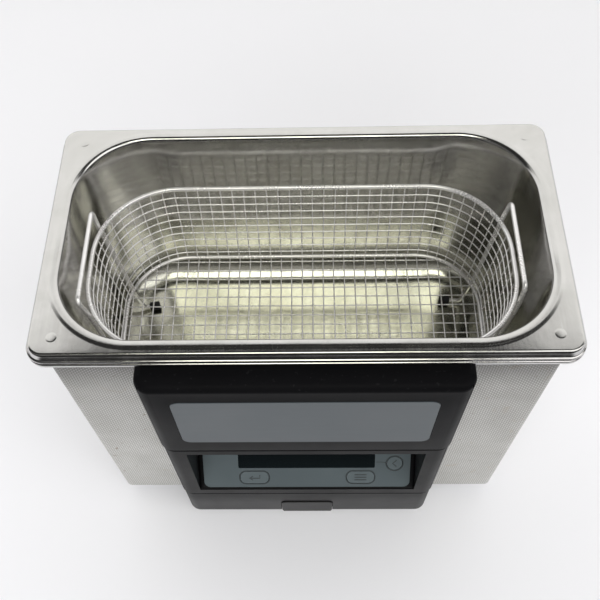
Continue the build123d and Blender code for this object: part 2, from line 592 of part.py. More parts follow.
# ---------------------------------------------------------------- fasteners of the housing
with BuildPart() as housing_screws:
    with Locations(*[Plane(origin=(x, FRONT + SHEET + 1.0, z), z_dir=(0, 1, 0)) for x, z in HOUSING_SCREWS]):
        Cylinder(3.0, 1.9)
    with Locations(*[Plane(origin=(x, FRONT + SHEET - 5.2, z), z_dir=(0, 1, 0)) for x, z in HOUSING_SCREWS]):
        Cylinder(1.5, 10.6)
    with Locations(*[(x, FRONT + SHEET + 1.7, z) for x, z in HOUSING_SCREWS]):
        Box(3.6, 0.9, 0.8, mode=Mode.SUBTRACT)
        Box(0.8, 0.9, 3.6, mode=Mode.SUBTRACT)

# ---------------------------------------------------------------- transducers and heater
TR = [(-78.0, 0.0), (78.0, 0.0)]
TANK_UNDER = PAN_FLOOR - SHEET

with BuildPart() as transducer_front_masses:
    with BuildSketch(Plane.XY.offset(TANK_UNDER - 0.05)):
        with Locations(*TR):
            Circle(29.5)
    extrude(amount=-4)
    with BuildSketch(Plane.XY.offset(TANK_UNDER - 4.05)):
        with Locations(*TR):
            Circle(29.5)
    extrude(amount=-21, taper=24)
    with Locations(*[(x, y, TANK_UNDER - 25.05 + 7) for x, y in TR]):
        Cylinder(5.0, 14.2, mode=Mode.SUBTRACT)

PZ_TOP = TANK_UNDER - 25.1
with BuildPart() as piezo_rings:
    with BuildSketch(Plane.XY.offset(PZ_TOP - 5.0)):
        with Locations(*TR):
            Circle(19)
            Circle(7.5, mode=Mode.SUBTRACT)
    extrude(amount=5.0)
    with BuildSketch(Plane.XY.offset(PZ_TOP - 10.4)):
        with Locations(*TR):
            Circle(19)
            Circle(7.5, mode=Mode.SUBTRACT)
    extrude(amount=5.0)

with BuildPart() as electrode_rings:
    with BuildSketch(Plane.XY.offset(PZ_TOP - 5.35)):
        with Locations(*TR):
            Circle(19)
            Circle(7.5, mode=Mode.SUBTRACT)
        with Locations(*[(x, y + 22) for x, y in TR]):
            Rectangle(5, 8)
    extrude(amount=0.3)

with BuildPart() as transducer_back_masses:
    with BuildSketch(Plane.XY.offset(PZ_TOP - 10.45)):
        with Locations(*TR):
            Circle(19)
            Circle(5.0, mode=Mode.SUBTRACT)
    extrude(amount=-18)
    chamfer(transducer_back_masses.edges().filter_by_position(Axis.Z, PZ_TOP - 28.46, PZ_TOP - 28.44).filter_by(lambda e: e.length > 60), length=1.0)

with BuildPart() as transducer_bolts:
    with Locations(*[(x, y, PZ_TOP - 28.5 - 4.0) for x, y in TR]):
        Cylinder(8.0, 8.0)
    with Locations(*[(x, y, PZ_TOP - 10.0) for x, y in TR]):
        Cylinder(4.9, 45.0)
    with BuildSketch(Plane.XY.offset(PZ_TOP - 36.6)):
        with Locations(*TR):
            RegularPolygon(4.6, 6)
    extrude(amount=5, mode=Mode.SUBTRACT)

with BuildPart() as heater_pad:
    with BuildSketch(Plane.XY.offset(TANK_UNDER - 1.55)):
        RectangleRounded(74, 88, 4)
    extrude(amount=1.5)

with BuildPart() as temperature_sensor:
    with Locations((114, 0, TANK_UNDER - 2.05)):
        Cylinder(5.0, 4.0)
    with Locations((114, 0, TANK_UNDER - 8.0)):
        Cylinder(2.4, 8.0)

# ---------------------------------------------------------------- generator
PCB_Z = 26.0
PCB_X, PCB_Y = 55.0, 10.0
POSTS = [(x, y) for x in (-15.0, 119.0) for y in (-30.0, 50.0)]

with BuildPart() as generator_pcb:
    with BuildSketch(Plane.XY.offset(PCB_Z)):
        with Locations((PCB_X, PCB_Y)):
            Rectangle(150, 90)
        with Locations(*POSTS):
            Circle(1.6, mode=Mode.SUBTRACT)
    extrude(amount=1.6)

with BuildPart() as pcb_standoffs:
    with BuildSketch(Plane.XY.offset(WRAP_BOTTOM)):
        with Locations(*POSTS):
            RegularPolygon(3.2, 6)
            Circle(1.5, mode=Mode.SUBTRACT)
    extrude(amount=PCB_Z - WRAP_BOTTOM - 0.02)

with BuildPart() as pcb_screws:
    with Locations(*[(x, y, PCB_Z + 1.6 + 1.05) for x, y in POSTS]):
        Cylinder(2.8, 2.0)
    with Locations(*[(x, y, PCB_Z + 0.9) for x, y in POSTS]):
        Cylinder(1.45, 8.0)

with BuildPart() as pcb_heatsink:
    with Locations((92, -12, PCB_Z + 1.65 + 1.75)):
        Box(56, 30, 3.5)
    with Locations((92, -12, PCB_Z + 1.65 + 3.4 + 7.5)):
        with GridLocations(6.5, 0, 9, 1):
            Box(1.6, 30, 15)

with BuildPart() as power_transistors:
    with Locations((76, 11.0, PCB_Z + 1.7 + 9), (108, 11.0, PCB_Z + 1.7 + 9)):
        Box(15.5, 4.6, 18)

with BuildPart() as output_transformer:
    with Locations((20, -8, PCB_Z + 1.7 + 12)):
        Box(34, 28, 24)
    with Locations((20, -8, PCB_Z + 1.7 + 12)):
        Box(22, 40, 17)
    fillet(output_transformer.edges().filter_by(Axis.Z), radius=1.5)

with BuildPart() as filter_capacitors:
    with Locations((0, 36, PCB_Z + 1.7 + 13), (24, 36, PCB_Z + 1.7 + 13)):
        Cylinder(9.5, 26)
    fillet(filter_capacitors.edges().filter_by_position(Axis.Z, PCB_Z + 27.6, PCB_Z + 27.8), radius=1.0)

with BuildPart() as pcb_connectors:
    with Locations((60, 46, PCB_Z + 1.7 + 6), (84, 46, PCB_Z + 1.7 + 6)):
        Box(18, 9, 12)
    with Locations((46, -28, PCB_Z + 1.7 + 4)):
        Box(24, 6, 8)
    with Locations((-12, 20, PCB_Z + 1.7 + 6)):
        Box(9, 18, 12)

# ---------------------------------------------------------------- rear power entry
with BuildPart() as iec_inlet:
    with BuildSketch(Plane.XZ.offset(-BACK - 0.05)):
        with Locations((INLET_X, INLET_Z)):
            RectangleRounded(50, 34, 4)
    extrude(amount=-3.0)
    with Locations((INLET_X, BACK - 9.0, INLET_Z)):
        Box(27.6, 20.0, 30.6)
    with BuildSketch(Plane.XZ.offset(-BACK - 4)) as socket:
        with Locations((INLET_X, INLET_Z + 5.4)):
            Rectangle(24.2, 16.4)
        chamfer(socket.vertices().sort_by(Axis.Z)[-2:], length=4.0)
    extrude(amount=20, mode=Mode.SUBTRACT)
    with Locations((INLET_X, BACK - 4.6, INLET_Z - 9.6)):
        Box(22.4, 18.0, 8.4, mode=Mode.SUBTRACT)
    with Locations(*[Plane(origin=(INLET_X + dx, BACK, INLET_Z), z_dir=(0, 1, 0)) for dx in (-20, 20)]):
        Cylinder(1.7, 10, mode=Mode.SUBTRACT)

with BuildPart() as inlet_pins:
    with Locations((INLET_X - 7, BACK - 8.0, INLET_Z + 3.6), (INLET_X + 7, BACK - 8.0, INLET_Z + 3.6), (INLET_X, BACK - 8.0, INLET_Z + 7.8)):
        Box(2.0, 15.8, 4.0)

with BuildPart() as inlet_screws:
    with Locations(*[Plane(origin=(INLET_X + dx, BACK + 3.1 + 1.0, INLET_Z), z_dir=(0, 1, 0)) for dx in (-20, 20)]):
        Cylinder(2.9, 1.9)
    with Locations(*[Plane(origin=(INLET_X + dx, BACK - 2.0, INLET_Z), z_dir=(0, 1, 0)) for dx in (-20, 20)]):
        Cylinder(1.5, 11.0)
    with Locations(*[(INLET_X + dx, BACK + 4.9, INLET_Z) for dx in (-20, 20)]):
        Box(3.6, 0.8, 0.8, mode=Mode.SUBTRACT)
        Box(0.8, 0.8, 3.6, mode=Mode.SUBTRACT)

with BuildPart() as fuse_drawer:
    with Locations((INLET_X, BACK - 3.6, INLET_Z - 9.6)):
        Box(22.0, 15.6, 8.0)
    with Locations((INLET_X, BACK + 4.0, INLET_Z - 9.6)):
        Box(10.0, 1.6, 3.0)
    with Locations((INLET_X, BACK - 5.0, INLET_Z - 7.7)):
        Box(20.4, 9.0, 5.6, mode=Mode.SUBTRACT)

with BuildPart() as fuse:
    with Locations(Plane(origin=(INLET_X, BACK - 5.0, INLET_Z - 7.97), z_dir=(1, 0, 0))):
        Cylinder(2.5, 19.8)

with BuildPart() as switch_housing:
    with BuildSketch(Plane.XZ.offset(-BACK - 0.05)):
        with Locations((SWITCH_X, SWITCH_Z)):
            RectangleRounded(17.4, 26.0, 1.5)
    extrude(amount=-1.8)
    with Locations((SWITCH_X, BACK - 10.0, SWITCH_Z)):
        Box(13.4, 21.0, 22.0)
    with Locations((SWITCH_X, BACK - 7.0, SWITCH_Z)):
        Box(11.4, 22.0, 19.8, mode=Mode.SUBTRACT)
    with Locations(Plane(origin=(SWITCH_X, BACK - 9.0, SWITCH_Z), z_dir=(1, 0, 0))):
        Cylinder(1.56, 13.0, mode=Mode.SUBTRACT)

RK = math.radians(7)


def rk(u, v):
    """(y, z) of a rocker profile point: u mm outward and v mm up, in the OFF position."""
    return (
        BACK - 9.0 + u * math.cos(RK) - v * math.sin(RK),
        SWITCH_Z + u * math.sin(RK) + v * math.cos(RK),
    )


with BuildPart() as power_rocker:
    with BuildSketch(Plane.YZ.offset(SWITCH_X - 5.55)):
        with BuildLine():
            Polyline(rk(-3, -4), rk(2, -6.4), rk(12.6, -7.9), rk(11.2, 0), rk(12.6, 7.9), rk(2, 6.4), rk(-3, 4), close=True)
        make_face()
    extrude(amount=11.1)
    with Locations(Plane(origin=(SWITCH_X, BACK - 9.0, SWITCH_Z), z_dir=(1, 0, 0))):
        Cylinder(1.5, 12.8)

# ---------------------------------------------------------------- wiring and earth
with BuildPart() as mains_wires:
    for dz, end in ((0.0, 16.0), (5.0, 24.0)):
        with BuildLine() as mains_path:
            FilletPolyline(
                (INLET_X - 5 + 2 * dz, BACK - 19.3, INLET_Z + 2), (INLET_X - 5 + 2 * dz, 44.0, INLET_Z + 2),
                (-40.0, 44.0 - dz, 44.0 + dz), (-28.0, end, 33.0 + dz * 0.4), (-17.0, end, 33.0 + dz * 0.4), radius=4.0,
            )
        with BuildSketch(Plane(origin=mains_path.wire() @ 0, z_dir=mains_path.wire() % 0)):
            Circle(1.5)
        sweep(path=mains_path.wire())

with BuildPart() as transducer_leads:
    for x0, x1 in ((-78.0, 60.0), (78.0, 84.0)):
        with BuildLine() as lead_path:
            FilletPolyline(
                (x0, 27.0, PZ_TOP - 5.2), (x0, 40.0, PZ_TOP - 5.2), (x0, 48.0, 60.0), (x1, 50.0, 54.0),
                (x1, 53.6, 42.0), (x1, 53.6, 34.0), (x1, 51.4, 34.0), radius=1.9,
            )
        with BuildSketch(Plane(origin=lead_path.wire() @ 0, z_dir=lead_path.wire() % 0)):
            Circle(1.0)
        sweep(path=lead_path.wire())

with BuildPart() as keypad_ribbon:
    with BuildSketch(Plane.YZ.offset(38)):
        with BuildLine():
            Polyline(
                (-67.9, 87.0), (-60.0, 82.0), (-48.0, 60.0), (-34.5, 38.0), (-31.2, 33.0),
                (-31.2, 34.4), (-33.9, 38.4), (-47.4, 60.4), (-59.5, 82.6), (-67.4, 87.6), close=True,
            )
        make_face()
    extrude(amount=16)

with BuildPart() as ground_stud:
    with Locations((-130, 10, WRAP_BOTTOM + 5.0)):
        Cylinder(1.95, 13.0)
    with Locations((-130, 10, WRAP_BOTTOM - 1.0 - 1.0)):
        Cylinder(3.6, 1.9)

with BuildPart() as ground_nut:
    with BuildSketch(Plane.XY.offset(WRAP_BOTTOM)):
        with Locations((-130, 10)):
            RegularPolygon(4.2, 6)
            Circle(2.0, mode=Mode.SUBTRACT)
    extrude(amount=3.2)

# ---------------------------------------------------------------- placing
# The frame stands on the table under the middle of the whole footprint, 7.31 mm in front of the tank's middle.
FRAME_SHIFT = 4.81
for piece in (
    tank, rim_seal, body_wrap, base_plate, base_screws, rubber_feet, foot_screws, foot_nuts, basket_rim_wire,
    basket_floor_frame, basket_hoop_wires, basket_upright_wires, basket_floor_mesh, basket_end_wire_left,
    basket_end_wire_right, basket_foot_tips, housing_cover, label_plate, housing_bezel, housing_base,
    card_tray, reference_card, display_overlay, lcd_window, lcd_module, keypad_pcb, enter_button,
    menu_button, back_button, tact_switches, housing_screws, transducer_front_masses, piezo_rings,
    electrode_rings, transducer_back_masses, transducer_bolts, heater_pad, temperature_sensor, generator_pcb,
    pcb_standoffs, pcb_screws, pcb_heatsink, power_transistors, output_transformer, filter_capacitors,
    pcb_connectors, iec_inlet, inlet_pins, inlet_screws, fuse_drawer, fuse, switch_housing, power_rocker,
    mains_wires, transducer_leads, keypad_ribbon, ground_stud, ground_nut,
):
    piece.part.location = Location((0, FRAME_SHIFT, 0))
# The pan and its seal were drawn about their own middle.
for piece in (tank, rim_seal):
    piece.part.location = Location((0, FRAME_SHIFT + MID, 0))

# ---------------------------------------------------------------- files
tank.part.label = "tank"
export_step(tank.part, "parts/tank.step")
rim_seal.part.label = "rim_seal"
export_step(rim_seal.part, "parts/rim_seal.step")
body_wrap.part.label = "body_wrap"
export_step(body_wrap.part, "parts/body_wrap.step")
base_plate.part.label = "base_plate"
export_step(base_plate.part, "parts/base_plate.step")
base_screws.part.label = "base_screws"
export_step(base_screws.part, "parts/base_screws.step")
rubber_feet.part.label = "rubber_feet"
export_step(rubber_feet.part, "parts/rubber_feet.step")
foot_screws.part.label = "foot_screws"
export_step(foot_screws.part, "parts/foot_screws.step")
foot_nuts.part.label = "foot_nuts"
export_step(foot_nuts.part, "parts/foot_nuts.step")
basket_rim_wire.part.label = "basket_rim_wire"
export_step(basket_rim_wire.part, "parts/basket_rim_wire.step")
basket_floor_frame.part.label = "basket_floor_frame"
export_step(basket_floor_frame.part, "parts/basket_floor_frame.step")
basket_hoop_wires.part.label = "basket_hoop_wires"
export_step(basket_hoop_wires.part, "parts/basket_hoop_wires.step")
basket_upright_wires.part.label = "basket_upright_wires"
export_step(basket_upright_wires.part, "parts/basket_upright_wires.step")
basket_floor_mesh.part.label = "basket_floor_mesh"
export_step(basket_floor_mesh.part, "parts/basket_floor_mesh.step")
basket_end_wire_left.part.label = "basket_end_wire_left"
export_step(basket_end_wire_left.part, "parts/basket_end_wire_left.step")
basket_end_wire_right.part.label = "basket_end_wire_right"
export_step(basket_end_wire_right.part, "parts/basket_end_wire_right.step")
basket_foot_tips.part.label = "basket_foot_tips"
export_step(basket_foot_tips.part, "parts/basket_foot_tips.step")
housing_cover.part.label = "housing_cover"
export_step(housing_cover.part, "parts/housing_cover.step")
label_plate.part.label = "label_plate"
export_step(label_plate.part, "parts/label_plate.step")
housing_bezel.part.label = "housing_bezel"
export_step(housing_bezel.part, "parts/housing_bezel.step")
housing_base.part.label = "housing_base"
export_step(housing_base.part, "parts/housing_base.step")
card_tray.part.label = "card_tray"
export_step(card_tray.part, "parts/card_tray.step")
reference_card.part.label = "reference_card"
export_step(reference_card.part, "parts/reference_card.step")
display_overlay.part.label = "display_overlay"
export_step(display_overlay.part, "parts/display_overlay.step")
lcd_window.part.label = "lcd_window"
export_step(lcd_window.part, "parts/lcd_window.step")
lcd_module.part.label = "lcd_module"
export_step(lcd_module.part, "parts/lcd_module.step")
keypad_pcb.part.label = "keypad_pcb"
export_step(keypad_pcb.part, "parts/keypad_pcb.step")
enter_button.part.label = "enter_button"
export_step(enter_button.part, "parts/enter_button.step")
menu_button.part.label = "menu_button"
export_step(menu_button.part, "parts/menu_button.step")
back_button.part.label = "back_button"
export_step(back_button.part, "parts/back_button.step")
tact_switches.part.label = "tact_switches"
export_step(tact_switches.part, "parts/tact_switches.step")
housing_screws.part.label = "housing_screws"
export_step(housing_screws.part, "parts/housing_screws.step")
transducer_front_masses.part.label = "transducer_front_masses"
export_step(transducer_front_masses.part, "parts/transducer_front_masses.step")
piezo_rings.part.label = "piezo_rings"
export_step(piezo_rings.part, "parts/piezo_rings.step")
electrode_rings.part.label = "electrode_rings"
export_step(electrode_rings.part, "parts/electrode_rings.step")
transducer_back_masses.part.label = "transducer_back_masses"
export_step(transducer_back_masses.part, "parts/transducer_back_masses.step")
transducer_bolts.part.label = "transducer_bolts"
export_step(transducer_bolts.part, "parts/transducer_bolts.step")
heater_pad.part.label = "heater_pad"
export_step(heater_pad.part, "parts/heater_pad.step")
temperature_sensor.part.label = "temperature_sensor"
export_step(temperature_sensor.part, "parts/temperature_sensor.step")
generator_pcb.part.label = "generator_pcb"
export_step(generator_pcb.part, "parts/generator_pcb.step")
pcb_standoffs.part.label = "pcb_standoffs"
export_step(pcb_standoffs.part, "parts/pcb_standoffs.step")
pcb_screws.part.label = "pcb_screws"
export_step(pcb_screws.part, "parts/pcb_screws.step")
pcb_heatsink.part.label = "pcb_heatsink"
export_step(pcb_heatsink.part, "parts/pcb_heatsink.step")
power_transistors.part.label = "power_transistors"
export_step(power_transistors.part, "parts/power_transistors.step")
output_transformer.part.label = "output_transformer"
export_step(output_transformer.part, "parts/output_transformer.step")
filter_capacitors.part.label = "filter_capacitors"
export_step(filter_capacitors.part, "parts/filter_capacitors.step")
pcb_connectors.part.label = "pcb_connectors"
export_step(pcb_connectors.part, "parts/pcb_connectors.step")
iec_inlet.part.label = "iec_inlet"
export_step(iec_inlet.part, "parts/iec_inlet.step")
inlet_pins.part.label = "inlet_pins"
export_step(inlet_pins.part, "parts/inlet_pins.step")
inlet_screws.part.label = "inlet_screws"
export_step(inlet_screws.part, "parts/inlet_screws.step")
fuse_drawer.part.label = "fuse_drawer"
export_step(fuse_drawer.part, "parts/fuse_drawer.step")
fuse.part.label = "fuse"
export_step(fuse.part, "parts/fuse.step")
switch_housing.part.label = "switch_housing"
export_step(switch_housing.part, "parts/switch_housing.step")
power_rocker.part.label = "power_rocker"
export_step(power_rocker.part, "parts/power_rocker.step")
mains_wires.part.label = "mains_wires"
export_step(mains_wires.part, "parts/mains_wires.step")
transducer_leads.part.label = "transducer_leads"
export_step(transducer_leads.part, "parts/transducer_leads.step")
keypad_ribbon.part.label = "keypad_ribbon"
export_step(keypad_ribbon.part, "parts/keypad_ribbon.step")
ground_stud.part.label = "ground_stud"
export_step(ground_stud.part, "parts/ground_stud.step")
ground_nut.part.label = "ground_nut"
export_step(ground_nut.part, "parts/ground_nut.step")
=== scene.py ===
# A small bench-top cleaner: a deep-drawn steel tank in a case with a sloping display panel,
# and a wire basket in the tank. It stands on z = 0 with its long side along X, the panel
# towards -Y. The added meshes are laid out in millimetres and placed in metres.
import json
import math
import random

import bpy
import bmesh
from mathutils import Matrix, Vector


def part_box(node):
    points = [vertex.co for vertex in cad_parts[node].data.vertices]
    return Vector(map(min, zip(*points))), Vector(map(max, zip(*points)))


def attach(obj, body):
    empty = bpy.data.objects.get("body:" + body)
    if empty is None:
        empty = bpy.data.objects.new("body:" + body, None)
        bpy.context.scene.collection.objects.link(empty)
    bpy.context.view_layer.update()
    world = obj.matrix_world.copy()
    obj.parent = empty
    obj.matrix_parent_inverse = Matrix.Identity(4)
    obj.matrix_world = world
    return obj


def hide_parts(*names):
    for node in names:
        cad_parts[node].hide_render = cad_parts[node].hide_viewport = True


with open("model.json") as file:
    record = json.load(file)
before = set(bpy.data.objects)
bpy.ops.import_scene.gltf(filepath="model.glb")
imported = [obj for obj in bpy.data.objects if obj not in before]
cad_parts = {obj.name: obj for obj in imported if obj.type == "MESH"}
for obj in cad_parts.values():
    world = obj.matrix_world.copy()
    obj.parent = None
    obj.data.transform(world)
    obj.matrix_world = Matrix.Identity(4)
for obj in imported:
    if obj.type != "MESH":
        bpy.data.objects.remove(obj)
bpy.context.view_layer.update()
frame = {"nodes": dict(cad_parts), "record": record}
scene = bpy.context.scene

# ------------------------------------------------------------------ sizes, mm
MM = 0.001
TANK_Y = 2.5                        # the tank's middle, behind the layout's origin
tank_lo, tank_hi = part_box("tank")
ORIGIN_Y = (tank_lo.y + tank_hi.y) / 2 / MM - TANK_Y

# Tank
RIM_X, RIM_Y, RIM_Z, RIM_R = 325.0, 176.4, 272.0, 12.0
WALL_X, WALL_Y, WALL_R = 297.5, 151.0, 48.0
PAN_FLOOR, FLOOR_R = 122.0, 20.0
ROLL_R = 2.8                        # radius where the wall turns over into the flange
SHEET = 0.8
DRAFT = math.tan(math.radians(1.0))
CREST_SAG = 0.09                    # how far the roll ends below the flange crest
CREST_OUT = 4.7                     # crest, outward of the wall line
STEP_OUT, STEP_DOWN = 3.0, 0.55     # S-shaped step from the crest to the flange
FLANGE_Z = RIM_Z - STEP_DOWN
EDGE_IN, EDGE_R = 3.95, 2.0         # centre and radius of the flange's outer bend
FLOOR_INSETS = (62, 50, 38, 28)     # floor rings, inward of the wall line
ARC_STEPS, LONG_STEPS, SHORT_STEPS = 22, 26, 9

# Outer lip from the bend down, round and up again: (inward of the rim line, z)
LIP = (
    (1.93, 269.3), (1.72, 268.55), (1.48, 267.7), (1.30, 267.05), (1.20, 266.75),
    (1.02, 266.55), (0.80, 266.43), (0.52, 266.29), (0.28, 266.15), (0.12, 265.95),
    (0.05, 265.65), (0.04, 265.3), (0.0, 265.0), (-0.12, 264.8), (-0.32, 264.68),
    (-0.58, 264.55), (-0.80, 264.40), (-0.93, 264.15), (-0.98, 263.8), (-0.98, 263.3),
    (-0.92, 262.6), (-0.75, 262.0), (-0.4, 261.7), (0.1, 261.65), (0.45, 261.9),
    (0.62, 262.5), (0.8, 263.3), (1.0, 264.4), (1.3, 265.5), (1.9, 266.5),
    (2.3, 267.4), (2.65, 268.3), (2.95, 269.2), (3.2, 269.75),
)

# Low domes on the flange corners
DOME_X, DOME_Y, DOME_R, DOME_H = 146.4, 74.2, 3.3, 0.13
DOME_SINK = 0.15
DOME_SEGS = 28

# Basket floor
BASKET_X, BASKET_Y = -2.0, -2.0
MESH_X, MESH_Y, MESH_R = 262.0, 118.0, 46.0
WIRE_PITCH, WIRE_R, WIRE_SEGS = 8.0, 0.5, 8
UPPER_WIRE_Z, LOWER_WIRE_Z = 161.72, 161.0

# Display panel; places on it are (x, distance up the slope)
PANEL_TILT = math.radians(38.0)
PANEL_Y, PANEL_Z = -96.0, 75.0
INK = 0.04                          # thickness of the prints
KEY_TOP = 0.15                      # key faces, out from the panel
ENTER_KEY = (-40.3, 6.0, 22.0, 10.6)    # x, up, width, height
MENU_KEY = (41.7, 6.0, 21.0, 10.6)
BACK_KEY = (67.6, 18.4, 5.85)           # x, up, radius
KEY_RING_GAP, KEY_RING_R = 0.75, 5.3
BACK_RING_GAP = 0.8
MENU_BAR_HALF, MENU_BAR_PITCH = 4.6, 2.3


# ------------------------------------------------------------------ shader helpers
def scaled(colour, red, green, blue):
    return colour[0] * red, colour[1] * green, colour[2] * blue


def lifted(colour, gain, lift=0.0):
    return tuple(min(part * gain + lift, 1) for part in colour)


class Nodes:
    """A node tree with short calls for the nodes used here."""

    def __init__(self, tree):
        self.tree = tree
        tree.nodes.clear()
        self.coords = self.node("ShaderNodeTexCoord").outputs
        self.here = self.coords["Generated"]

    def node(self, kind, inputs=None, **settings):
        node = self.tree.nodes.new(kind)
        for key, value in settings.items():
            setattr(node, key, value)
        for key, value in (inputs or {}).items():
            self.feed(node, key, value)
        return node

    def feed(self, node, key, value):
        socket = node.inputs[key]
        if isinstance(value, bpy.types.NodeSocket):
            self.tree.links.new(value, socket)
        elif socket.type == "RGBA":
            socket.default_value = (*value, 1.0)
        else:
            socket.default_value = value

    def mapped(self, stretch=(1, 1, 1)):
        inputs = {"Vector": self.coords["Object"], "Scale": stretch}
        return self.node("ShaderNodeMapping", inputs).outputs[0]

    def axes(self, vector=None):
        inputs = {"Vector": vector or self.here}
        return list(self.node("ShaderNodeSeparateXYZ", inputs).outputs)

    def noise(self, scale, detail=2.0, roughness=0.5, distortion=0.0, stretch=None):
        inputs = {
            "Vector": self.mapped(stretch) if stretch else self.here,
            "Scale": scale, "Detail": detail,
            "Roughness": roughness, "Distortion": distortion,
        }
        return self.node("ShaderNodeTexNoise", inputs).outputs["Fac"]

    def math(self, operation, *values, clamp=False):
        inputs = dict(enumerate(values))
        node = self.node("ShaderNodeMath", inputs, operation=operation, use_clamp=clamp)
        return node.outputs[0]

    def add(self, first, second, clamp=False):
        return self.math("ADD", first, second, clamp=clamp)

    def multiply(self, first, second, clamp=False):
        return self.math("MULTIPLY", first, second, clamp=clamp)

    def span(self, value, over, to=(0.0, 1.0)):
        """Carry one range of a value onto another, held at the ends."""
        inputs = {
            "Value": value, "From Min": over[0], "From Max": over[1],
            "To Min": to[0], "To Max": to[1],
        }
        return self.node("ShaderNodeMapRange", inputs).outputs[0]

    def mix(self, factor, first, second):
        inputs = {0: factor, 6: first, 7: second}       # the node's colour sockets
        return self.node("ShaderNodeMix", inputs, data_type="RGBA").outputs[2]

    def mix_value(self, factor, first, second):
        inputs = {0: factor, 2: first, 3: second}       # the node's float sockets
        return self.node("ShaderNodeMix", inputs, data_type="FLOAT").outputs[0]

    def tint(self, base, colour, by, over, amount=1.0):
        """Bring a colour in over base as the value `by` crosses the range `over`."""
        return self.mix(self.span(by, over=over, to=(0.0, amount)), base, colour)

    def brightness(self, colour, value):
        inputs = {"Color": colour, "Value": value}
        return self.node("ShaderNodeHueSaturation", inputs).outputs[0]

    def bump(self, height, strength, distance, under=None):
        inputs = {"Height": height, "Strength": strength, "Distance": distance}
        if under is not None:
            inputs["Normal"] = under
        return self.node("ShaderNodeBump", inputs).outputs[0]


class Surface(Nodes):
    """A new material with one Principled shader, in object coordinates (metres)."""

    def __init__(self, name):
        self.material = bpy.data.materials.new(name)
        self.material.use_nodes = True
        super().__init__(self.material.node_tree)
        output = self.node("ShaderNodeOutputMaterial")
        self.shader = self.node("ShaderNodeBsdfPrincipled")
        self.feed(output, "Surface", self.shader.outputs[0])
        self.here = self.mapped()

    def geometry(self, output):
        return self.node("ShaderNodeNewGeometry").outputs[output]

    def finish(self, **inputs):
        for key, value in inputs.items():
            self.feed(self.shader, key.replace("_", " "), value)
        return self.material


# ------------------------------------------------------------------ materials
def steel(name, base, rough, scratch=(60, 900, 60), bump=0.05, stain=0.0, smudge=0.12, metal=1.0):
    """Stainless or plated metal: fine scratches, smudged sheen, faint tone changes."""
    s = Surface(name)
    fine = s.noise(scale=4.0, detail=5.0, roughness=0.65, stretch=scratch)
    cloud = s.noise(scale=38.0, detail=4.0, roughness=0.6, distortion=0.4)
    broad = s.noise(scale=9.0, detail=3.0, roughness=0.55, distortion=0.2)
    tone = s.span(broad, over=(0.3, 0.7), to=(0.94, 1.04))
    dark = scaled(base, red=0.86, green=0.84, blue=0.80)
    colour = s.tint(base, dark, by=cloud, over=(0.35, 0.75), amount=0.35)
    colour = s.brightness(colour, tone)
    if stain > 0:
        spot = s.noise(scale=120.0, detail=3.0, roughness=0.7, distortion=1.2)
        brown = scaled(base, red=0.62, green=0.52, blue=0.40)
        colour = s.tint(colour, brown, by=spot, over=(0.62, 0.74), amount=stain)
    smudges = s.span(cloud, over=(0.3, 0.7), to=(rough - smudge * 0.5, rough + smudge * 0.5))
    scratches = s.span(fine, over=(0.3, 0.7), to=(-0.06, 0.06))
    return s.finish(
        Base_Color=colour,
        Metallic=metal,
        Roughness=s.add(smudges, scratches, clamp=True),
        Normal=s.bump(fine, strength=bump, distance=0.0002),
    )


def plastic(name, base, rough, specular=0.5, dust=0.05, painted_sheen_and_shade=False):
    """Moulded plastic: fine grain, slight sheen changes, dust and rubbed edges.

    With this option set, the shine is painted by height, raised near the foot and lowered higher
    up, and crevices and seams get painted shade from ambient occlusion."""
    s = Surface(name)
    grain = s.noise(scale=2600.0, roughness=0.6)
    cloud = s.noise(scale=22.0, detail=4.0, roughness=0.6, distortion=0.3)
    speck = s.noise(scale=420.0)
    colour = s.tint(base, lifted(base, gain=1.14), by=cloud, over=(0.35, 0.7))
    colour = s.tint(colour, (0.5, 0.5, 0.5), by=speck, over=(0.66, 0.74), amount=dust)
    rubbed = lifted(base, gain=2.2, lift=0.02)
    edge = s.geometry("Pointiness")
    colour = s.tint(colour, rubbed, by=edge, over=(0.53, 0.60), amount=0.35)
    if painted_sheen_and_shade:
        _, _, height = s.axes()
        # Painted sheen: the shine is raised near the foot and lowered with height, standing in
        # for reflections.
        painted_foot_sheen = s.span(height, over=(0.036, 0.052), to=(2.4, 1.0))
        body = s.span(height, over=(0.03, 0.24), to=(specular * 1.5, specular * 0.25))
        # Painted shade: ambient occlusion darkens the colour and the shine in crevices and seams.
        painted_crevice_shade = s.node("ShaderNodeAmbientOcclusion", {"Distance": 0.005}, samples=8)
        clear_of_painted_shade = s.span(painted_crevice_shade.outputs["AO"], over=(0.45, 0.80))
        specular = s.multiply(s.multiply(painted_foot_sheen, body), clear_of_painted_shade)
        colour = s.mix(clear_of_painted_shade, (0.0008, 0.0008, 0.0009), colour)
    return s.finish(
        Base_Color=colour,
        Roughness=s.span(cloud, over=(0.3, 0.7), to=(rough - 0.04, rough + 0.05)),
        Normal=s.bump(grain, strength=0.12, distance=0.0001),
        Specular_IOR_Level=specular,
        Coat_Weight=0.0,
        Coat_Roughness=0.12,
    )


def rubber(name, base):
    """Matt rubber with cloudy bloom."""
    s = Surface(name)
    cloud = s.noise(scale=90.0, detail=4.0, roughness=0.65)
    grain = s.noise(scale=900.0, detail=3.0, roughness=0.6)
    bloom = lifted(base, gain=1.7, lift=0.01)
    return s.finish(
        Base_Color=s.tint(base, bloom, by=cloud, over=(0.3, 0.75)),
        Roughness=s.span(cloud, over=(0.3, 0.7), to=(0.62, 0.85)),
        Normal=s.bump(grain, strength=0.35, distance=0.0002),
        Specular_IOR_Level=0.3,
    )


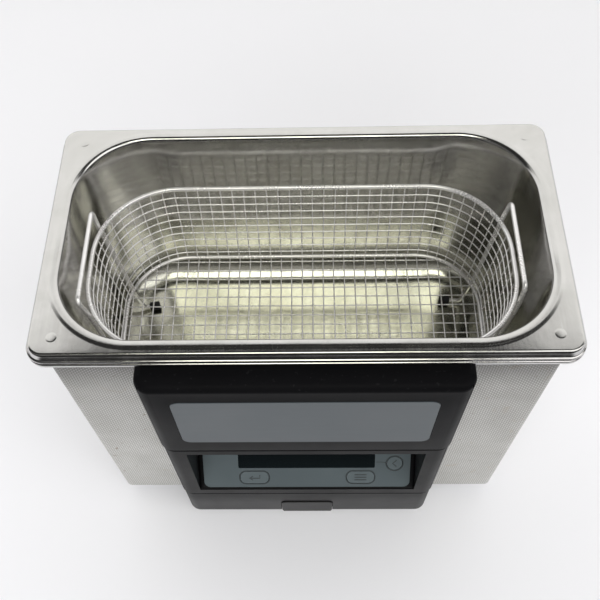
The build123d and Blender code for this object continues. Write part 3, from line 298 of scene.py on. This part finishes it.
def drawn_stainless():
    """Deep-drawn stainless: shiny walls with draw lines and water marks, satin flange."""
    s = Surface("drawn_stainless")
    _, _, height = s.axes()
    _, _, facing_up = s.axes(s.geometry("True Normal"))
    high = s.span(height, over=(0.2665, 0.2700))
    level = s.span(facing_up, over=(0.55, 0.92))
    flange = s.multiply(high, level, clamp=True)
    floor = s.span(height, over=(0.1225, 0.1400), to=(1.0, 0.0))
    draw = s.noise(scale=1.0, detail=4.0, roughness=0.6, stretch=(240, 240, 9))
    brush = s.noise(scale=1.0, detail=3.0, roughness=0.6, stretch=(900, 22, 900))
    cloud = s.noise(scale=30.0, detail=5.0, roughness=0.62, distortion=0.5)
    blotch = s.noise(scale=75.0, detail=4.0, roughness=0.66, distortion=0.8)

    cells = s.node("ShaderNodeTexVoronoi", {"Vector": s.here, "Scale": 110.0},
                   feature="DISTANCE_TO_EDGE")
    outline = s.span(cells.outputs["Distance"], over=(0.02, 0.0))
    water_mark = s.multiply(outline, s.span(blotch, over=(0.5, 0.62)), clamp=True)

    clouded = {"by": cloud, "over": (0.35, 0.7)}
    wall_colour = s.tint((0.61, 0.605, 0.60), (0.53, 0.52, 0.505), **clouded)
    # Painted reflection: the floor is lighter and yellower than the walls, standing in for the
    # bright yellowish light it reflects.
    painted_floor_reflection_colour = s.tint((0.66, 0.66, 0.57), (0.58, 0.58, 0.47), **clouded)
    colour = s.mix(floor, wall_colour, painted_floor_reflection_colour)
    colour = s.mix(s.multiply(water_mark, 0.35), colour, (0.36, 0.33, 0.26))
    flange_colour = s.tint((0.66, 0.655, 0.635), (0.60, 0.595, 0.57), **clouded)
    colour = s.mix(flange, colour, flange_colour)

    inside_rough = s.add(s.span(blotch, over=(0.35, 0.7), to=(0.12, 0.20)),
                         s.span(draw, over=(0.35, 0.65), to=(-0.01, 0.02)))
    flange_rough = s.add(s.span(cloud, over=(0.35, 0.7), to=(0.15, 0.20)),
                         s.span(brush, over=(0.35, 0.65), to=(-0.02, 0.02)))
    waves = s.noise(scale=1.0, roughness=0.45, stretch=(16, 16, 10))
    normal = s.bump(waves, strength=0.22, distance=0.004)
    normal = s.bump(draw, strength=0.05, distance=0.0003, under=normal)
    return s.finish(
        Base_Color=colour,
        Metallic=1.0,
        Roughness=s.mix_value(flange, inside_rough, flange_rough),
        Normal=s.bump(blotch, strength=0.05, distance=0.0004, under=normal),
    )


def linen_steel():
    """Linen-embossed stainless: staggered raised cells, blotches and small stains."""
    cell_width, cell_height = 0.00165, 0.0030
    s = Surface("linen_steel")
    normal_x, _, _ = s.axes(s.geometry("True Normal"))
    on_end = s.math("GREATER_THAN", s.math("ABSOLUTE", normal_x), 0.7)
    x, y, height = s.axes()
    along = s.mix_value(on_end, x, y)
    wobble = s.math("SUBTRACT", s.noise(scale=160.0), 0.5)
    along = s.add(along, s.multiply(wobble, 0.0006))
    column = s.math("DIVIDE", along, cell_width)
    row = s.math("DIVIDE", height, cell_height)
    column_number = s.math("ABSOLUTE", s.math("FLOOR", column))
    stagger = s.multiply(s.math("MODULO", column_number, 2.0), 0.5)

    def off_centre_squared(place):
        offset = s.math("ABSOLUTE", s.math("SUBTRACT", s.math("FRACT", place), 0.5))
        offset = s.multiply(offset, 2.0)
        return s.multiply(offset, offset)

    off_centre = s.math("SQRT", s.add(off_centre_squared(column),
                                      off_centre_squared(s.add(row, stagger))))
    raised = s.span(off_centre, over=(1.15, 0.45))

    cloud = s.noise(scale=26.0, detail=4.0, roughness=0.6, distortion=0.3)
    blotch = s.noise(scale=45.0, detail=5.0, roughness=0.7, distortion=1.5, stretch=(1, 1, 0.7))
    spot = s.noise(scale=210.0, distortion=0.6)
    colour = s.tint((0.69, 0.685, 0.665), (0.61, 0.605, 0.58), by=cloud, over=(0.35, 0.7))
    # Painted shade: the grooves between the raised cells are darkened.
    painted_groove_shade = s.span(raised, over=(0.0, 1.0), to=(0.9, 0.0))
    colour = s.mix(painted_groove_shade, colour, (0.27, 0.265, 0.245))
    colour = s.tint(colour, (0.44, 0.37, 0.27), by=blotch, over=(0.60, 0.72), amount=0.55)
    colour = s.tint(colour, (0.26, 0.21, 0.16), by=spot, over=(0.70, 0.76), amount=0.8)
    # Painted shade: lighter low down and darker with height, halved just under the rim where its
    # shadow falls.
    painted_shade_by_height = s.span(height, over=(0.10, 0.235), to=(1.15, 0.86))
    painted_rim_shadow = s.span(height, over=(0.212, 0.245), to=(1.0, 0.50))
    colour = s.brightness(colour, s.multiply(painted_shade_by_height, painted_rim_shadow))
    grain = s.noise(scale=1400.0, roughness=0.6)
    normal = s.bump(raised, strength=0.55, distance=0.00012)
    return s.finish(
        Base_Color=colour,
        Metallic=0.75,
        Roughness=s.span(cloud, over=(0.3, 0.7), to=(0.40, 0.52)),
        Normal=s.bump(grain, strength=0.1, distance=0.0001, under=normal),
        Specular_IOR_Level=0.5,
    )


def film(name, base, rough):
    """Printed plastic film: even colour, very fine texture, faint cloudiness."""
    s = Surface(name)
    cloud = s.noise(scale=16.0, detail=3.0, roughness=0.55, distortion=0.2)
    texture = s.noise(scale=3200.0)
    wipe = s.noise(scale=1.0, detail=3.0, roughness=0.6, stretch=(30, 300, 300))
    dark, light = lifted(base, gain=0.95), lifted(base, gain=1.07)
    sheen = s.span(cloud, over=(0.3, 0.7), to=(rough - 0.05, rough + 0.05))
    wiped = s.span(wipe, over=(0.35, 0.65), to=(-0.008, 0.008))
    return s.finish(
        Base_Color=s.tint(dark, light, by=cloud, over=(0.35, 0.7)),
        Roughness=s.add(sheen, wiped),
        Normal=s.bump(texture, strength=0.08, distance=0.0001),
        Specular_IOR_Level=0.5,
    )


def lens_black():
    """Smoked display window: gloss black, with painted light making it faintly lighter low down.
    """
    s = Surface("lens_black")
    cloud = s.noise(scale=40.0, detail=3.0, roughness=0.6)
    _, _, height = s.axes()
    # Painted light: lighter low down, darker up under the overhang where its shade falls.
    low = s.span(height, over=(0.086, 0.104), to=(1.0, 0.0))
    gloss = s.span(cloud, over=(0.3, 0.7), to=(0.06, 0.12))
    dust = s.span(s.noise(scale=900.0), over=(0.66, 0.75), to=(0.0, 0.2))
    return s.finish(
        Base_Color=s.mix(low, (0.003, 0.004, 0.005), (0.006, 0.009, 0.010)),
        Roughness=s.add(gloss, dust, clamp=True),
        Specular_IOR_Level=0.32,
    )


def pcb_green():
    """Circuit board: solder mask, copper runs under it, tinned dots."""
    s = Surface("pcb_green")
    runs = s.node("ShaderNodeTexBrick", {
        "Vector": s.mapped(),
        "Scale": 90.0,
        "Mortar Size": 0.03,
        "Color1": (0.02, 0.17, 0.07),
        "Color2": (0.025, 0.20, 0.085),
        "Mortar": (0.05, 0.30, 0.13),
    }).outputs
    dots = s.node("ShaderNodeTexVoronoi", {"Vector": s.here, "Scale": 260.0})
    cloud = s.noise(scale=60.0, detail=3.0, roughness=0.6)
    return s.finish(
        Base_Color=s.tint(runs["Color"], (0.62, 0.62, 0.60),
                          by=dots.outputs["Distance"], over=(0.22, 0.18)),
        Roughness=s.span(cloud, over=(0.3, 0.7), to=(0.28, 0.42)),
        Normal=s.bump(runs["Fac"], strength=0.2, distance=0.0001),
    )


def ceramic(name, base):
    """Matt, slightly mottled ceramic or card."""
    s = Surface(name)
    cloud = s.noise(scale=130.0, detail=4.0, roughness=0.6)
    grain = s.noise(scale=1500.0, roughness=0.6)
    dark = scaled(base, red=0.85, green=0.84, blue=0.8)
    return s.finish(
        Base_Color=s.tint(base, dark, by=cloud, over=(0.3, 0.7)),
        Roughness=s.span(cloud, over=(0.3, 0.7), to=(0.45, 0.6)),
        Normal=s.bump(grain, strength=0.15, distance=0.0001),
    )


def fuse_glass():
    """Glass tube lying along X, with metal end caps."""
    middle_x, glass_half, clearness = -0.108, 0.0052, 0.85
    s = Surface("fuse_glass")
    x, _, _ = s.axes()
    from_middle = s.math("ABSOLUTE", s.math("SUBTRACT", x, middle_x))
    caps = s.math("GREATER_THAN", from_middle, glass_half)
    smear = s.noise(scale=300.0)
    return s.finish(
        Base_Color=s.mix(caps, (0.85, 0.88, 0.88), (0.70, 0.69, 0.66)),
        Metallic=caps,
        Roughness=s.span(smear, over=(0.3, 0.7), to=(0.05, 0.2)),
        Transmission_Weight=s.math("SUBTRACT", clearness, s.multiply(caps, clearness)),
    )


def sleeve(name, base, stripe):
    """Glossy sleeve with thin pale or dark stripes."""
    s = Surface(name)
    inputs = {"Vector": s.here, "Scale": 40.0, "Distortion": 0.5}
    wave = s.node("ShaderNodeTexWave", inputs).outputs["Fac"]
    cloud = s.noise(scale=200.0, detail=3.0, roughness=0.6)
    return s.finish(
        Base_Color=s.tint(base, stripe, by=wave, over=(0.9, 0.98), amount=0.5),
        Roughness=s.span(cloud, over=(0.3, 0.7), to=(0.25, 0.4)),
        Normal=s.bump(cloud, strength=0.1, distance=0.0002),
    )


def rocker_gloss():
    """Gloss black rocker with a printed bar above and a printed ring below."""
    marks_x, bar_z, ring_z = -0.066, 0.0672, 0.0572
    bar_half, ring_radius, half_line = 0.0017, 0.0016, 0.00035
    s = Surface("rocker_gloss")
    x, _, z = s.axes()
    across = s.math("ABSOLUTE", s.math("SUBTRACT", x, marks_x))
    from_bar = s.math("ABSOLUTE", s.math("SUBTRACT", z, bar_z))
    bar = s.multiply(s.math("LESS_THAN", across, half_line),
                     s.math("LESS_THAN", from_bar, bar_half))
    from_ring = s.math("SUBTRACT", z, ring_z)
    radius = s.math("SQRT", s.add(s.multiply(across, across),
                                  s.multiply(from_ring, from_ring)))
    off_line = s.math("ABSOLUTE", s.math("SUBTRACT", radius, ring_radius))
    ring = s.math("LESS_THAN", off_line, half_line)
    mark = s.math("MAXIMUM", bar, ring)
    cloud = s.noise(scale=60.0, detail=3.0, roughness=0.6)
    return s.finish(
        Base_Color=s.mix(mark, (0.018, 0.018, 0.02), (0.8, 0.8, 0.78)),
        Roughness=s.span(cloud, over=(0.3, 0.7), to=(0.14, 0.26)),
        Normal=s.bump(s.noise(scale=1500.0), strength=0.04, distance=0.0001),
    )


def white_sheet():
    """White ground, with a painted dark reflection: near black to glossy rays in front of the
    object.
    """
    s = Surface("white_sheet")
    cloud = s.noise(scale=1.3)
    colour = s.tint((0.872, 0.872, 0.905), (0.888, 0.888, 0.915), by=cloud, over=(0.3, 0.7))
    _, y, _ = s.axes()
    reflected = s.node("ShaderNodeLightPath").outputs["Is Glossy Ray"]
    # Painted reflection: glossy rays see the ground near black in front of the object, standing
    # in for dark surroundings.
    front = s.multiply(s.span(y, over=(-0.34, -0.46)), reflected, clamp=True)
    return s.finish(
        Base_Color=s.mix(front, colour, (0.016, 0.016, 0.016)),
        Roughness=0.75,
        Specular_IOR_Level=0.2,
    )


# Material for each slot of the CAD pieces
MATERIALS = {
    "satin_steel": drawn_stainless(),
    "linen_steel": linen_steel(),
    "zinc_steel": steel("zinc_steel", (0.60, 0.61, 0.63), rough=0.34, smudge=0.1, stain=0.3),
    "bright_wire": steel("bright_wire", (0.90, 0.89, 0.88), rough=0.24,
                         scratch=(300, 300, 300), bump=0.10, smudge=0.14, metal=0.68),
    # Charcoal plastic: painted sheen by height and painted shade in crevices and seams.
    "charcoal_plastic": plastic("charcoal_plastic", (0.0050, 0.0050, 0.0056), rough=0.40,
                                specular=0.10, dust=0.015, painted_sheen_and_shade=True),
    "plate_grey": film("plate_grey", (0.064, 0.077, 0.086), rough=0.42),
    "panel_teal_grey": film("panel_teal_grey", (0.080, 0.100, 0.108), rough=0.45),
    "lens_black": lens_black(),
    "black_rubber": rubber("black_rubber", (0.014, 0.014, 0.015)),
    "silicone": rubber("silicone", (0.36, 0.36, 0.35)),
    "card_white": ceramic("card_white", (0.84, 0.84, 0.81)),
    "pcb_green": pcb_green(),
    "display_body": plastic("display_body", (0.03, 0.05, 0.045), rough=0.5),
    "switch_black": plastic("switch_black", (0.022, 0.022, 0.024), rough=0.42),
    "aluminium_part": steel("aluminium_part", (0.78, 0.78, 0.79), rough=0.30,
                            scratch=(40, 40, 1500), bump=0.15),
    "piezo_ceramic": ceramic("piezo_ceramic", (0.72, 0.68, 0.58)),
    "brass_part": steel("brass_part", (0.80, 0.62, 0.32), rough=0.26, stain=0.3),
    "heater_silicone": rubber("heater_silicone", (0.52, 0.15, 0.07)),
    "ferrite": ceramic("ferrite", (0.09, 0.09, 0.10)),
    "capacitor_sleeve": sleeve("capacitor_sleeve", (0.03, 0.05, 0.13), (0.5, 0.52, 0.55)),
    "connector_nylon": plastic("connector_nylon", (0.74, 0.73, 0.68), rough=0.45),
    "fuse_glass": fuse_glass(),
    "wire_sleeve": sleeve("wire_sleeve", (0.35, 0.05, 0.04), (0.42, 0.08, 0.06)),
    "ribbon_grey": sleeve("ribbon_grey", (0.46, 0.46, 0.48), (0.30, 0.30, 0.33)),
    "white_rocker": rocker_gloss(),
}
KEY_FILM = film("key_film", (0.095, 0.117, 0.125), rough=0.40)
PRINTED_INK = plastic("printed_ink", (0.022, 0.026, 0.028), rough=0.5, dust=0.0)


# ------------------------------------------------------------------ mesh helpers
def shade(mesh, sharp_angle):
    mesh.polygons.foreach_set("use_smooth", [True] * len(mesh.polygons))
    mesh.set_sharp_from_angle(angle=math.radians(sharp_angle))


def add_piece(name, geometry, body, material, sharp_angle, replaces=()):
    """Make a mesh from millimetres, riding on a CAD body."""
    verts, faces = geometry
    mesh = bpy.data.meshes.new(name)
    mesh.from_pydata([(x * MM, (y + ORIGIN_Y) * MM, z * MM) for x, y, z in verts], [], faces)
    mesh.validate()
    work = bmesh.new()
    work.from_mesh(mesh)
    bmesh.ops.recalc_face_normals(work, faces=work.faces)
    work.to_mesh(mesh)
    work.free()
    piece = bpy.data.objects.new(name, mesh)
    scene.collection.objects.link(piece)
    mesh.materials.append(material)
    shade(mesh, sharp_angle)
    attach(piece, body)
    if replaces:
        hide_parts(*replaces)


def loft(rings, closed=False):
    """Quads between rings of equal length; closed joins the last ring to the first."""
    size = len(rings[0])
    count = len(rings)
    faces = []
    for i in range(count if closed else count - 1):
        a, b = i * size, (i + 1) % count * size
        for k in range(size):
            after = (k + 1) % size
            faces.append((a + k, a + after, b + after, b + k))
    return [point for ring in rings for point in ring], faces


def capped_loft(rings):
    verts, faces = loft(rings)
    size = len(rings[0])
    faces.append(tuple(reversed(range(size))))
    faces.append(tuple(range(len(verts) - size, len(verts))))
    return verts, faces


def merge(parts):
    verts, faces = [], []
    for part_verts, part_faces in parts:
        base = len(verts)
        verts += part_verts
        faces += [tuple(base + i for i in face) for face in part_faces]
    return verts, faces


def wire(path):
    """A round, level wire with domed ends along a list of points."""
    points = [Vector(point) for point in path]
    last = len(points) - 1
    tangents = [(points[min(i + 1, last)] - points[max(i - 1, 0)]).normalized()
                for i in range(last + 1)]
    side = Vector((0, 0, 1))
    side = (side - tangents[0] * side.dot(tangents[0])).normalized()
    frames = []
    for i, tangent in enumerate(tangents):
        if i:
            side = tangents[i - 1].rotation_difference(tangent) @ side
            side = (side - tangent * side.dot(tangent)).normalized()
        frames.append((side.copy(), tangent.cross(side).normalized()))

    def ring(centre, axes, radius):
        angles = [2 * math.pi * k / WIRE_SEGS for k in range(WIRE_SEGS)]
        return [tuple(centre + axes[0] * (radius * math.cos(angle))
                      + axes[1] * (radius * math.sin(angle))) for angle in angles]

    def end_ring(end, out, reach):
        centre = points[end] + tangents[end] * out * WIRE_R * reach
        return ring(centre, frames[end], WIRE_R * math.sqrt(1 - reach * reach))

    reaches = (0.45, 0.8, 0.98)     # end dome rings, in wire radii
    rings = [end_ring(0, -1, reach) for reach in reversed(reaches)]
    rings += [ring(point, axes, WIRE_R) for point, axes in zip(points, frames)]
    rings += [end_ring(last, 1, reach) for reach in reaches]
    return capped_loft(rings)


def dome(centre_x, centre_y, base_z):
    """A low closed dome, its skirt sunk below base_z."""
    def ring(radius, z):
        angles = [2 * math.pi * k / DOME_SEGS for k in range(DOME_SEGS)]
        return [(centre_x + radius * math.cos(angle), centre_y + radius * math.sin(angle), z)
                for angle in angles]

    rings = [ring(DOME_R, base_z - DOME_SINK)]
    for part in (0.0, 0.25, 0.5, 0.75, 0.93):
        angle = part * math.pi / 2
        rings.append(ring(DOME_R * math.cos(angle), base_z + DOME_H * math.sin(angle)))
    return capped_loft(rings)


# ------------------------------------------------------------------ looks of the CAD pieces
slot_of = {part["node"]: part["material_slot"] for part in frame["record"]["subparts"]}
for name, piece in frame["nodes"].items():
    is_key = name in ("enter_button", "menu_button", "back_button")
    piece.data.materials.clear()
    piece.data.materials.append(KEY_FILM if is_key else MATERIALS[slot_of[name]])
    shade(piece.data, sharp_angle=32)


# ------------------------------------------------------------------ the tank, one closed sheet
def rounded_ring(half_x, half_y, radius, z):
    """Rounded rectangle, counter-clockwise from the -Y end of the +X side's corner."""
    radius = max(min(radius, half_x - 0.01, half_y - 0.01), 0.01)
    x, y = half_x - radius, half_y - radius
    corners = (     # centre, start angle, direction and steps of the side that follows
        (x, -y, -90, (0, 1), SHORT_STEPS),
        (x, y, 0, (-1, 0), LONG_STEPS),
        (-x, y, 90, (0, -1), SHORT_STEPS),
        (-x, -y, 180, (1, 0), LONG_STEPS),
    )
    ring = []
    for centre_x, centre_y, start, (dx, dy), steps in corners:
        for i in range(ARC_STEPS + 1):      # the last arc point begins the side
            angle = math.radians(start + 90 * i / ARC_STEPS)
            end_x = centre_x + radius * math.cos(angle)
            end_y = centre_y + radius * math.sin(angle)
            ring.append((end_x, end_y, z))
        length = 2 * (y if dx == 0 else x)
        for i in range(1, steps):
            run = i / steps * length
            ring.append((end_x + dx * run, end_y + dy * run, z))
    return ring


def at_wall(inset, z):
    return rounded_ring(WALL_X / 2 - inset, WALL_Y / 2 - inset, WALL_R - inset, z)


def at_rim(inset, z):
    """A ring inward of the rim line; it never passes that line in X."""
    return rounded_ring(RIM_X / 2 - max(inset, 0), RIM_Y / 2 - inset, RIM_R - inset, z)


def wall_inset(z):
    return (RIM_Z - z) * DRAFT


def bend(ring_at, centre, radii, angles, steps, first=0):
    """Rings round an elliptic bend; centre and radii are (inset, z), angles in degrees."""
    start, end = angles
    rings = []
    for i in range(first, steps + 1):
        angle = math.radians(start + (end - start) * i / steps)
        rings.append(ring_at(centre[0] + radii[0] * math.cos(angle),
                             centre[1] + radii[1] * math.sin(angle)))
    return rings


def flange_crest():
    """From the roll out over the crest and down the step."""
    roll_end = math.radians(5)
    start = ROLL_R - ROLL_R * math.sin(roll_end)
    rings = []
    for i in range(1, 6):
        part = i / 5
        out = start + (CREST_OUT - start) * part
        rings.append(at_wall(-out, RIM_Z - CREST_SAG * (1 - part) ** 2))
    for i in range(1, 11):
        part = i / 10
        drop = STEP_DOWN * (3 * part * part - 2 * part ** 3)
        rings.append(at_wall(-CREST_OUT - STEP_OUT * part, RIM_Z - drop))
    return rings


def tank_rings():
    """From the inner floor, up and over the flange, and down the outer face."""
    fillet_z = PAN_FLOOR + FLOOR_R
    fillet = (wall_inset(fillet_z) + FLOOR_R, fillet_z)
    roll = (-ROLL_R, RIM_Z - CREST_SAG - ROLL_R * math.cos(math.radians(5)))
    outer_r = FLOOR_R + SHEET
    rings = [at_wall(inset, PAN_FLOOR) for inset in FLOOR_INSETS]
    rings += bend(at_wall, fillet, (-FLOOR_R, -FLOOR_R), angles=(90, 1), steps=14)
    rings += [at_wall(wall_inset(z), z) for z in (150, 165, 185, 205, 225, 245, 258, 264)]
    rings += bend(at_wall, roll, (ROLL_R, ROLL_R), angles=(2, 85), steps=11)
    rings += flange_crest()
    rings += bend(at_rim, (EDGE_IN, FLANGE_Z - EDGE_R), (-EDGE_R, EDGE_R),
                  angles=(90, 22), steps=11)
    rings += [at_rim(inset, z) for inset, z in LIP]
    # Under the flange: inside the outer bend, then down into the wall
    rings += bend(at_rim, (EDGE_IN, 270.0), (-0.65, 0.6), angles=(0, 90), steps=5, first=1)
    rings += bend(at_wall, (-3.6, 267.45), (2.75, 2.75), angles=(90, 0), steps=7)
    rings += [at_wall(wall_inset(z) - SHEET, z) for z in (255, 225, 185, 150)]
    rings += bend(at_wall, fillet, (-outer_r, -outer_r), angles=(1, 90), steps=12)
    rings += [at_wall(inset, PAN_FLOOR - SHEET) for inset in reversed(FLOOR_INSETS)]
    return rings


def tank():
    rings = tank_rings()
    size = len(rings[0])
    verts, faces = loft(rings)
    faces.append(tuple(range(size)))
    faces.append(tuple(reversed(range(len(verts) - size, len(verts)))))
    domes = [dome(x, y, FLANGE_Z) for x in (-DOME_X, DOME_X) for y in (-DOME_Y, DOME_Y)]
    verts, faces = merge([(verts, faces)] + domes)
    return [(x, y + TANK_Y, z) for x, y, z in verts], faces


add_piece("tank_drawn", tank(), "cleaner", MATERIALS["satin_steel"],
          sharp_angle=45, replaces=["tank"])


# ------------------------------------------------------------------ basket floor
def half_length(offset, half_across, half_along):
    """Half a wire's length inside the floor's rounded outline, at an offset from the middle."""
    into_corner = abs(offset) - (half_across - MESH_R)
    if into_corner <= 0:
        return half_along
    return half_along - MESH_R + math.sqrt(MESH_R * MESH_R - into_corner * into_corner)


def basket_floor():
    """Slightly wavy wires along Y laid over wires along X."""
    random_lean = random.Random(7)
    wires = []
    for k in range(-16, 17):
        x = k * WIRE_PITCH
        half = half_length(x, MESH_X / 2, MESH_Y / 2)
        lean = random_lean.uniform(-0.15, 0.15)
        wires.append(wire([(BASKET_X + x + lean * math.sin(i * 1.1),
                            BASKET_Y - half + 2 * half * i / 8,
                            UPPER_WIRE_Z) for i in range(9)]))
    for k in range(-7, 8):
        y = k * WIRE_PITCH
        half = half_length(y, MESH_Y / 2, MESH_X / 2)
        wires.append(wire([(BASKET_X - half + 2 * half * i / 10,
                            BASKET_Y + y + 0.1 * math.sin(i * 1.7 + k),
                            LOWER_WIRE_Z) for i in range(11)]))
    return merge(wires)


add_piece("basket_floor_wires", basket_floor(), "basket", MATERIALS["bright_wire"],
          sharp_angle=60, replaces=["basket_floor_mesh"])


# ------------------------------------------------------------------ prints on the panel and keys
def on_panel(x, up, out):
    sine, cosine = math.sin(PANEL_TILT), math.cos(PANEL_TILT)
    return x, PANEL_Y + up * sine - out * cosine, PANEL_Z + up * cosine + out * sine


def printed_line(points, width, base=0.0, closed=False):
    """A thin slab along points (x, up), its underside `base` out from the panel."""
    last = len(points) - 1
    sections = []
    for i, (x, up) in enumerate(points):
        if closed:
            before, after = points[i - 1], points[(i + 1) % len(points)]
        else:
            before, after = points[max(i - 1, 0)], points[min(i + 1, last)]
        dx, dy = after[0] - before[0], after[1] - before[1]
        length = math.hypot(dx, dy)
        side_x, side_up = -dy / length * width / 2, dx / length * width / 2
        corners = ((1, base), (-1, base), (-1, base + INK), (1, base + INK))
        sections.append([on_panel(x + side * side_x, up + side * side_up, out)
                         for side, out in corners])
    return loft(sections, closed=True) if closed else capped_loft(sections)


def key_outline(centre_x, centre_up, width, height):
    """Rounded rectangle standing KEY_RING_GAP off a key."""
    x = width / 2 + KEY_RING_GAP - KEY_RING_R
    up = height / 2 + KEY_RING_GAP - KEY_RING_R
    points = []
    for side_x, side_up, start in ((1, -1, -90), (1, 1, 0), (-1, 1, 90), (-1, -1, 180)):
        for i in range(11):
            angle = math.radians(start + 90 * i / 10)
            points.append((centre_x + side_x * x + KEY_RING_R * math.cos(angle),
                           centre_up + side_up * up + KEY_RING_R * math.sin(angle)))
    return points


def back_outline():
    x, up, radius = BACK_KEY
    radius += BACK_RING_GAP
    angles = [2 * math.pi * i / 40 for i in range(40)]
    return [(x + radius * math.cos(angle), up + radius * math.sin(angle)) for angle in angles]


def add_print(name, body, lines):
    add_piece(name, merge(lines), body, PRINTED_INK, sharp_angle=30)


add_print("panel_print", "cleaner", [
    printed_line(key_outline(*ENTER_KEY), width=0.62, closed=True),
    printed_line(key_outline(*MENU_KEY), width=0.62, closed=True),
    printed_line(back_outline(), width=0.7, closed=True),
    printed_line([(53.4, 19.6), (57.2, 19.6), (60.9, 19.2)], width=0.6),
])
add_print("enter_print", "enter_key", [     # bent arrow: shaft, then head
    printed_line([(-36.2, 8.4), (-36.2, 5.4), (-43.2, 5.4)], width=0.85, base=KEY_TOP),
    printed_line([(-41.6, 7.2), (-44.2, 5.4), (-41.6, 3.6)], width=0.85, base=KEY_TOP),
])
menu_x, menu_up = MENU_KEY[:2]
add_print("menu_print", "menu_key", [       # three bars
    printed_line([(menu_x - MENU_BAR_HALF, menu_up + i * MENU_BAR_PITCH),
                  (menu_x + MENU_BAR_HALF, menu_up + i * MENU_BAR_PITCH)],
                 width=0.95, base=KEY_TOP)
    for i in (-1, 0, 1)
])
add_print("back_print", "back_key", [       # arrowhead pointing to -X
    printed_line([(69.0, 21.2), (66.0, 18.4), (69.0, 15.6)], width=1.0, base=KEY_TOP),
])


# ------------------------------------------------------------------ stage, light, camera (metres)
def add_sheet(half):
    material = white_sheet()
    mesh = bpy.data.meshes.new("sheet")
    corners = [(-half, -half, 0.0), (half, -half, 0.0), (half, half, 0.0), (-half, half, 0.0)]
    mesh.from_pydata(corners, [], [(0, 1, 2, 3)])
    sheet = bpy.data.objects.new("sheet", mesh)
    scene.collection.objects.link(sheet)
    mesh.materials.append(material)


def build_world():
    """Room laid out on a ceiling plane: across and back are X and Y over height."""
    world = bpy.data.worlds.new("studio")
    scene.world = world
    world.use_nodes = True
    w = Nodes(world.node_tree)
    x, y, z = w.axes()
    height = w.math("MAXIMUM", z, 0.02)
    across = w.math("DIVIDE", x, height)
    back = w.math("DIVIDE", y, height)

    def band(value, low, high, soft):
        """1 between low and high, with soft edges."""
        return w.multiply(w.span(value, over=(low - soft, low + soft)),
                          w.span(value, over=(high + soft, high - soft)), clamp=True)

    above = w.span(z, over=(0.0, 0.06))
    far = w.span(back, over=(0.535, 0.61))
    wide = w.multiply(w.span(w.math("ABSOLUTE", across), over=(0.30, 0.37)),
                      w.span(back, over=(0.34, 0.50)), clamp=True)
    sky = w.multiply(w.math("MAXIMUM", far, wide), 1.12)
    lamp = w.multiply(band(across, low=-0.207, high=0.187, soft=0.02),
                      band(back, low=-0.90, high=-0.30, soft=0.05), clamp=True)
    right = w.multiply(w.span(across, over=(0.27, 0.34)),
                       band(back, low=-1.6, high=-0.15, soft=0.1), clamp=True)
    left = w.multiply(w.span(across, over=(-0.27, -0.34)),
                      band(back, low=-1.9, high=-0.9, soft=0.1), clamp=True)
    lamp_power, right_power, left_power, ambient = 3.7, 1.7, 0.25, 0.022
    sides = w.add(w.multiply(right, right_power), w.multiply(left, left_power))
    strength = w.add(w.multiply(lamp, lamp_power), sides)
    strength = w.add(w.multiply(w.add(strength, sky), above), ambient)
    colour = w.mix(lamp, (1.0, 0.99, 0.98), (1.0, 1.0, 0.87))

    # The camera sees only a plain pale wall
    seen = w.node("ShaderNodeLightPath").outputs["Is Camera Ray"]
    haze = w.span(w.noise(scale=1.5), over=(0.3, 0.7), to=(0.80, 0.84))
    colour = w.mix(seen, colour, (0.985, 0.988, 1.0))
    strength = w.add(w.multiply(strength, w.math("SUBTRACT", 1.0, seen)),
                     w.multiply(haze, seen))
    background = w.node("ShaderNodeBackground", {"Color": colour, "Strength": strength})
    w.node("ShaderNodeOutputWorld", {"Surface": background.outputs[0]})


def add_area_light(name, location, target, size, watts):
    """A cool rectangular light that is left out of reflections."""
    data = bpy.data.lights.new(name, "AREA")
    data.shape = "RECTANGLE"
    data.size, data.size_y = size
    data.energy = watts
    data.color = (0.985, 0.985, 1.0)
    light = bpy.data.objects.new(name, data)
    light.location = location
    aim = Vector(target) - Vector(location)
    light.rotation_euler = aim.to_track_quat("-Z", "Y").to_euler()
    light.visible_glossy = False
    scene.collection.objects.link(light)


def add_camera():
    """Camera looking steeply down and to +Y."""
    pitch, yaw, roll = math.radians(60.985), math.radians(-3.176), math.radians(-3.239)
    x, y, z = 0.003907, -0.288327 + ORIGIN_Y * MM, 0.668445
    data = bpy.data.cameras.new("camera")
    camera = bpy.data.objects.new("camera", data)
    scene.collection.objects.link(camera)
    ahead = Vector((math.sin(yaw) * math.cos(pitch),
                    math.cos(yaw) * math.cos(pitch),
                    -math.sin(pitch)))
    level_right = Vector((math.cos(yaw), -math.sin(yaw), 0))
    level_up = level_right.cross(ahead)
    right = level_right * math.cos(roll) + level_up * math.sin(roll)
    up = -level_right * math.sin(roll) + level_up * math.cos(roll)
    camera.matrix_world = Matrix((
        (right.x, up.x, -ahead.x, x),
        (right.y, up.y, -ahead.y, y),
        (right.z, up.z, -ahead.z, z),
        (0, 0, 0, 1),
    ))
    data.sensor_width = 36.0
    data.lens = 47.235
    data.shift_x = 0.01793
    data.shift_y = 0.05103
    data.clip_start = 0.01
    scene.camera = camera


add_sheet(half=5.0)
build_world()
add_area_light("overhead", (0.0, 0.0, 2.6), target=(0, 0, 0), size=(3.6, 3.4), watts=23)
add_area_light("front_fill", (-0.35, -1.5, 1.1), target=(0, -0.15, 0.05),
               size=(1.8, 0.9), watts=14)
add_camera()

scene.view_settings.view_transform = "Standard"
scene.view_settings.look = "None"
scene.cycles.max_bounces = 12
scene.cycles.glossy_bounces = 8
scene.cycles.diffuse_bounces = 4
scene.cycles.sample_clamp_indirect = 6.0
scene.cycles.use_denoising = True
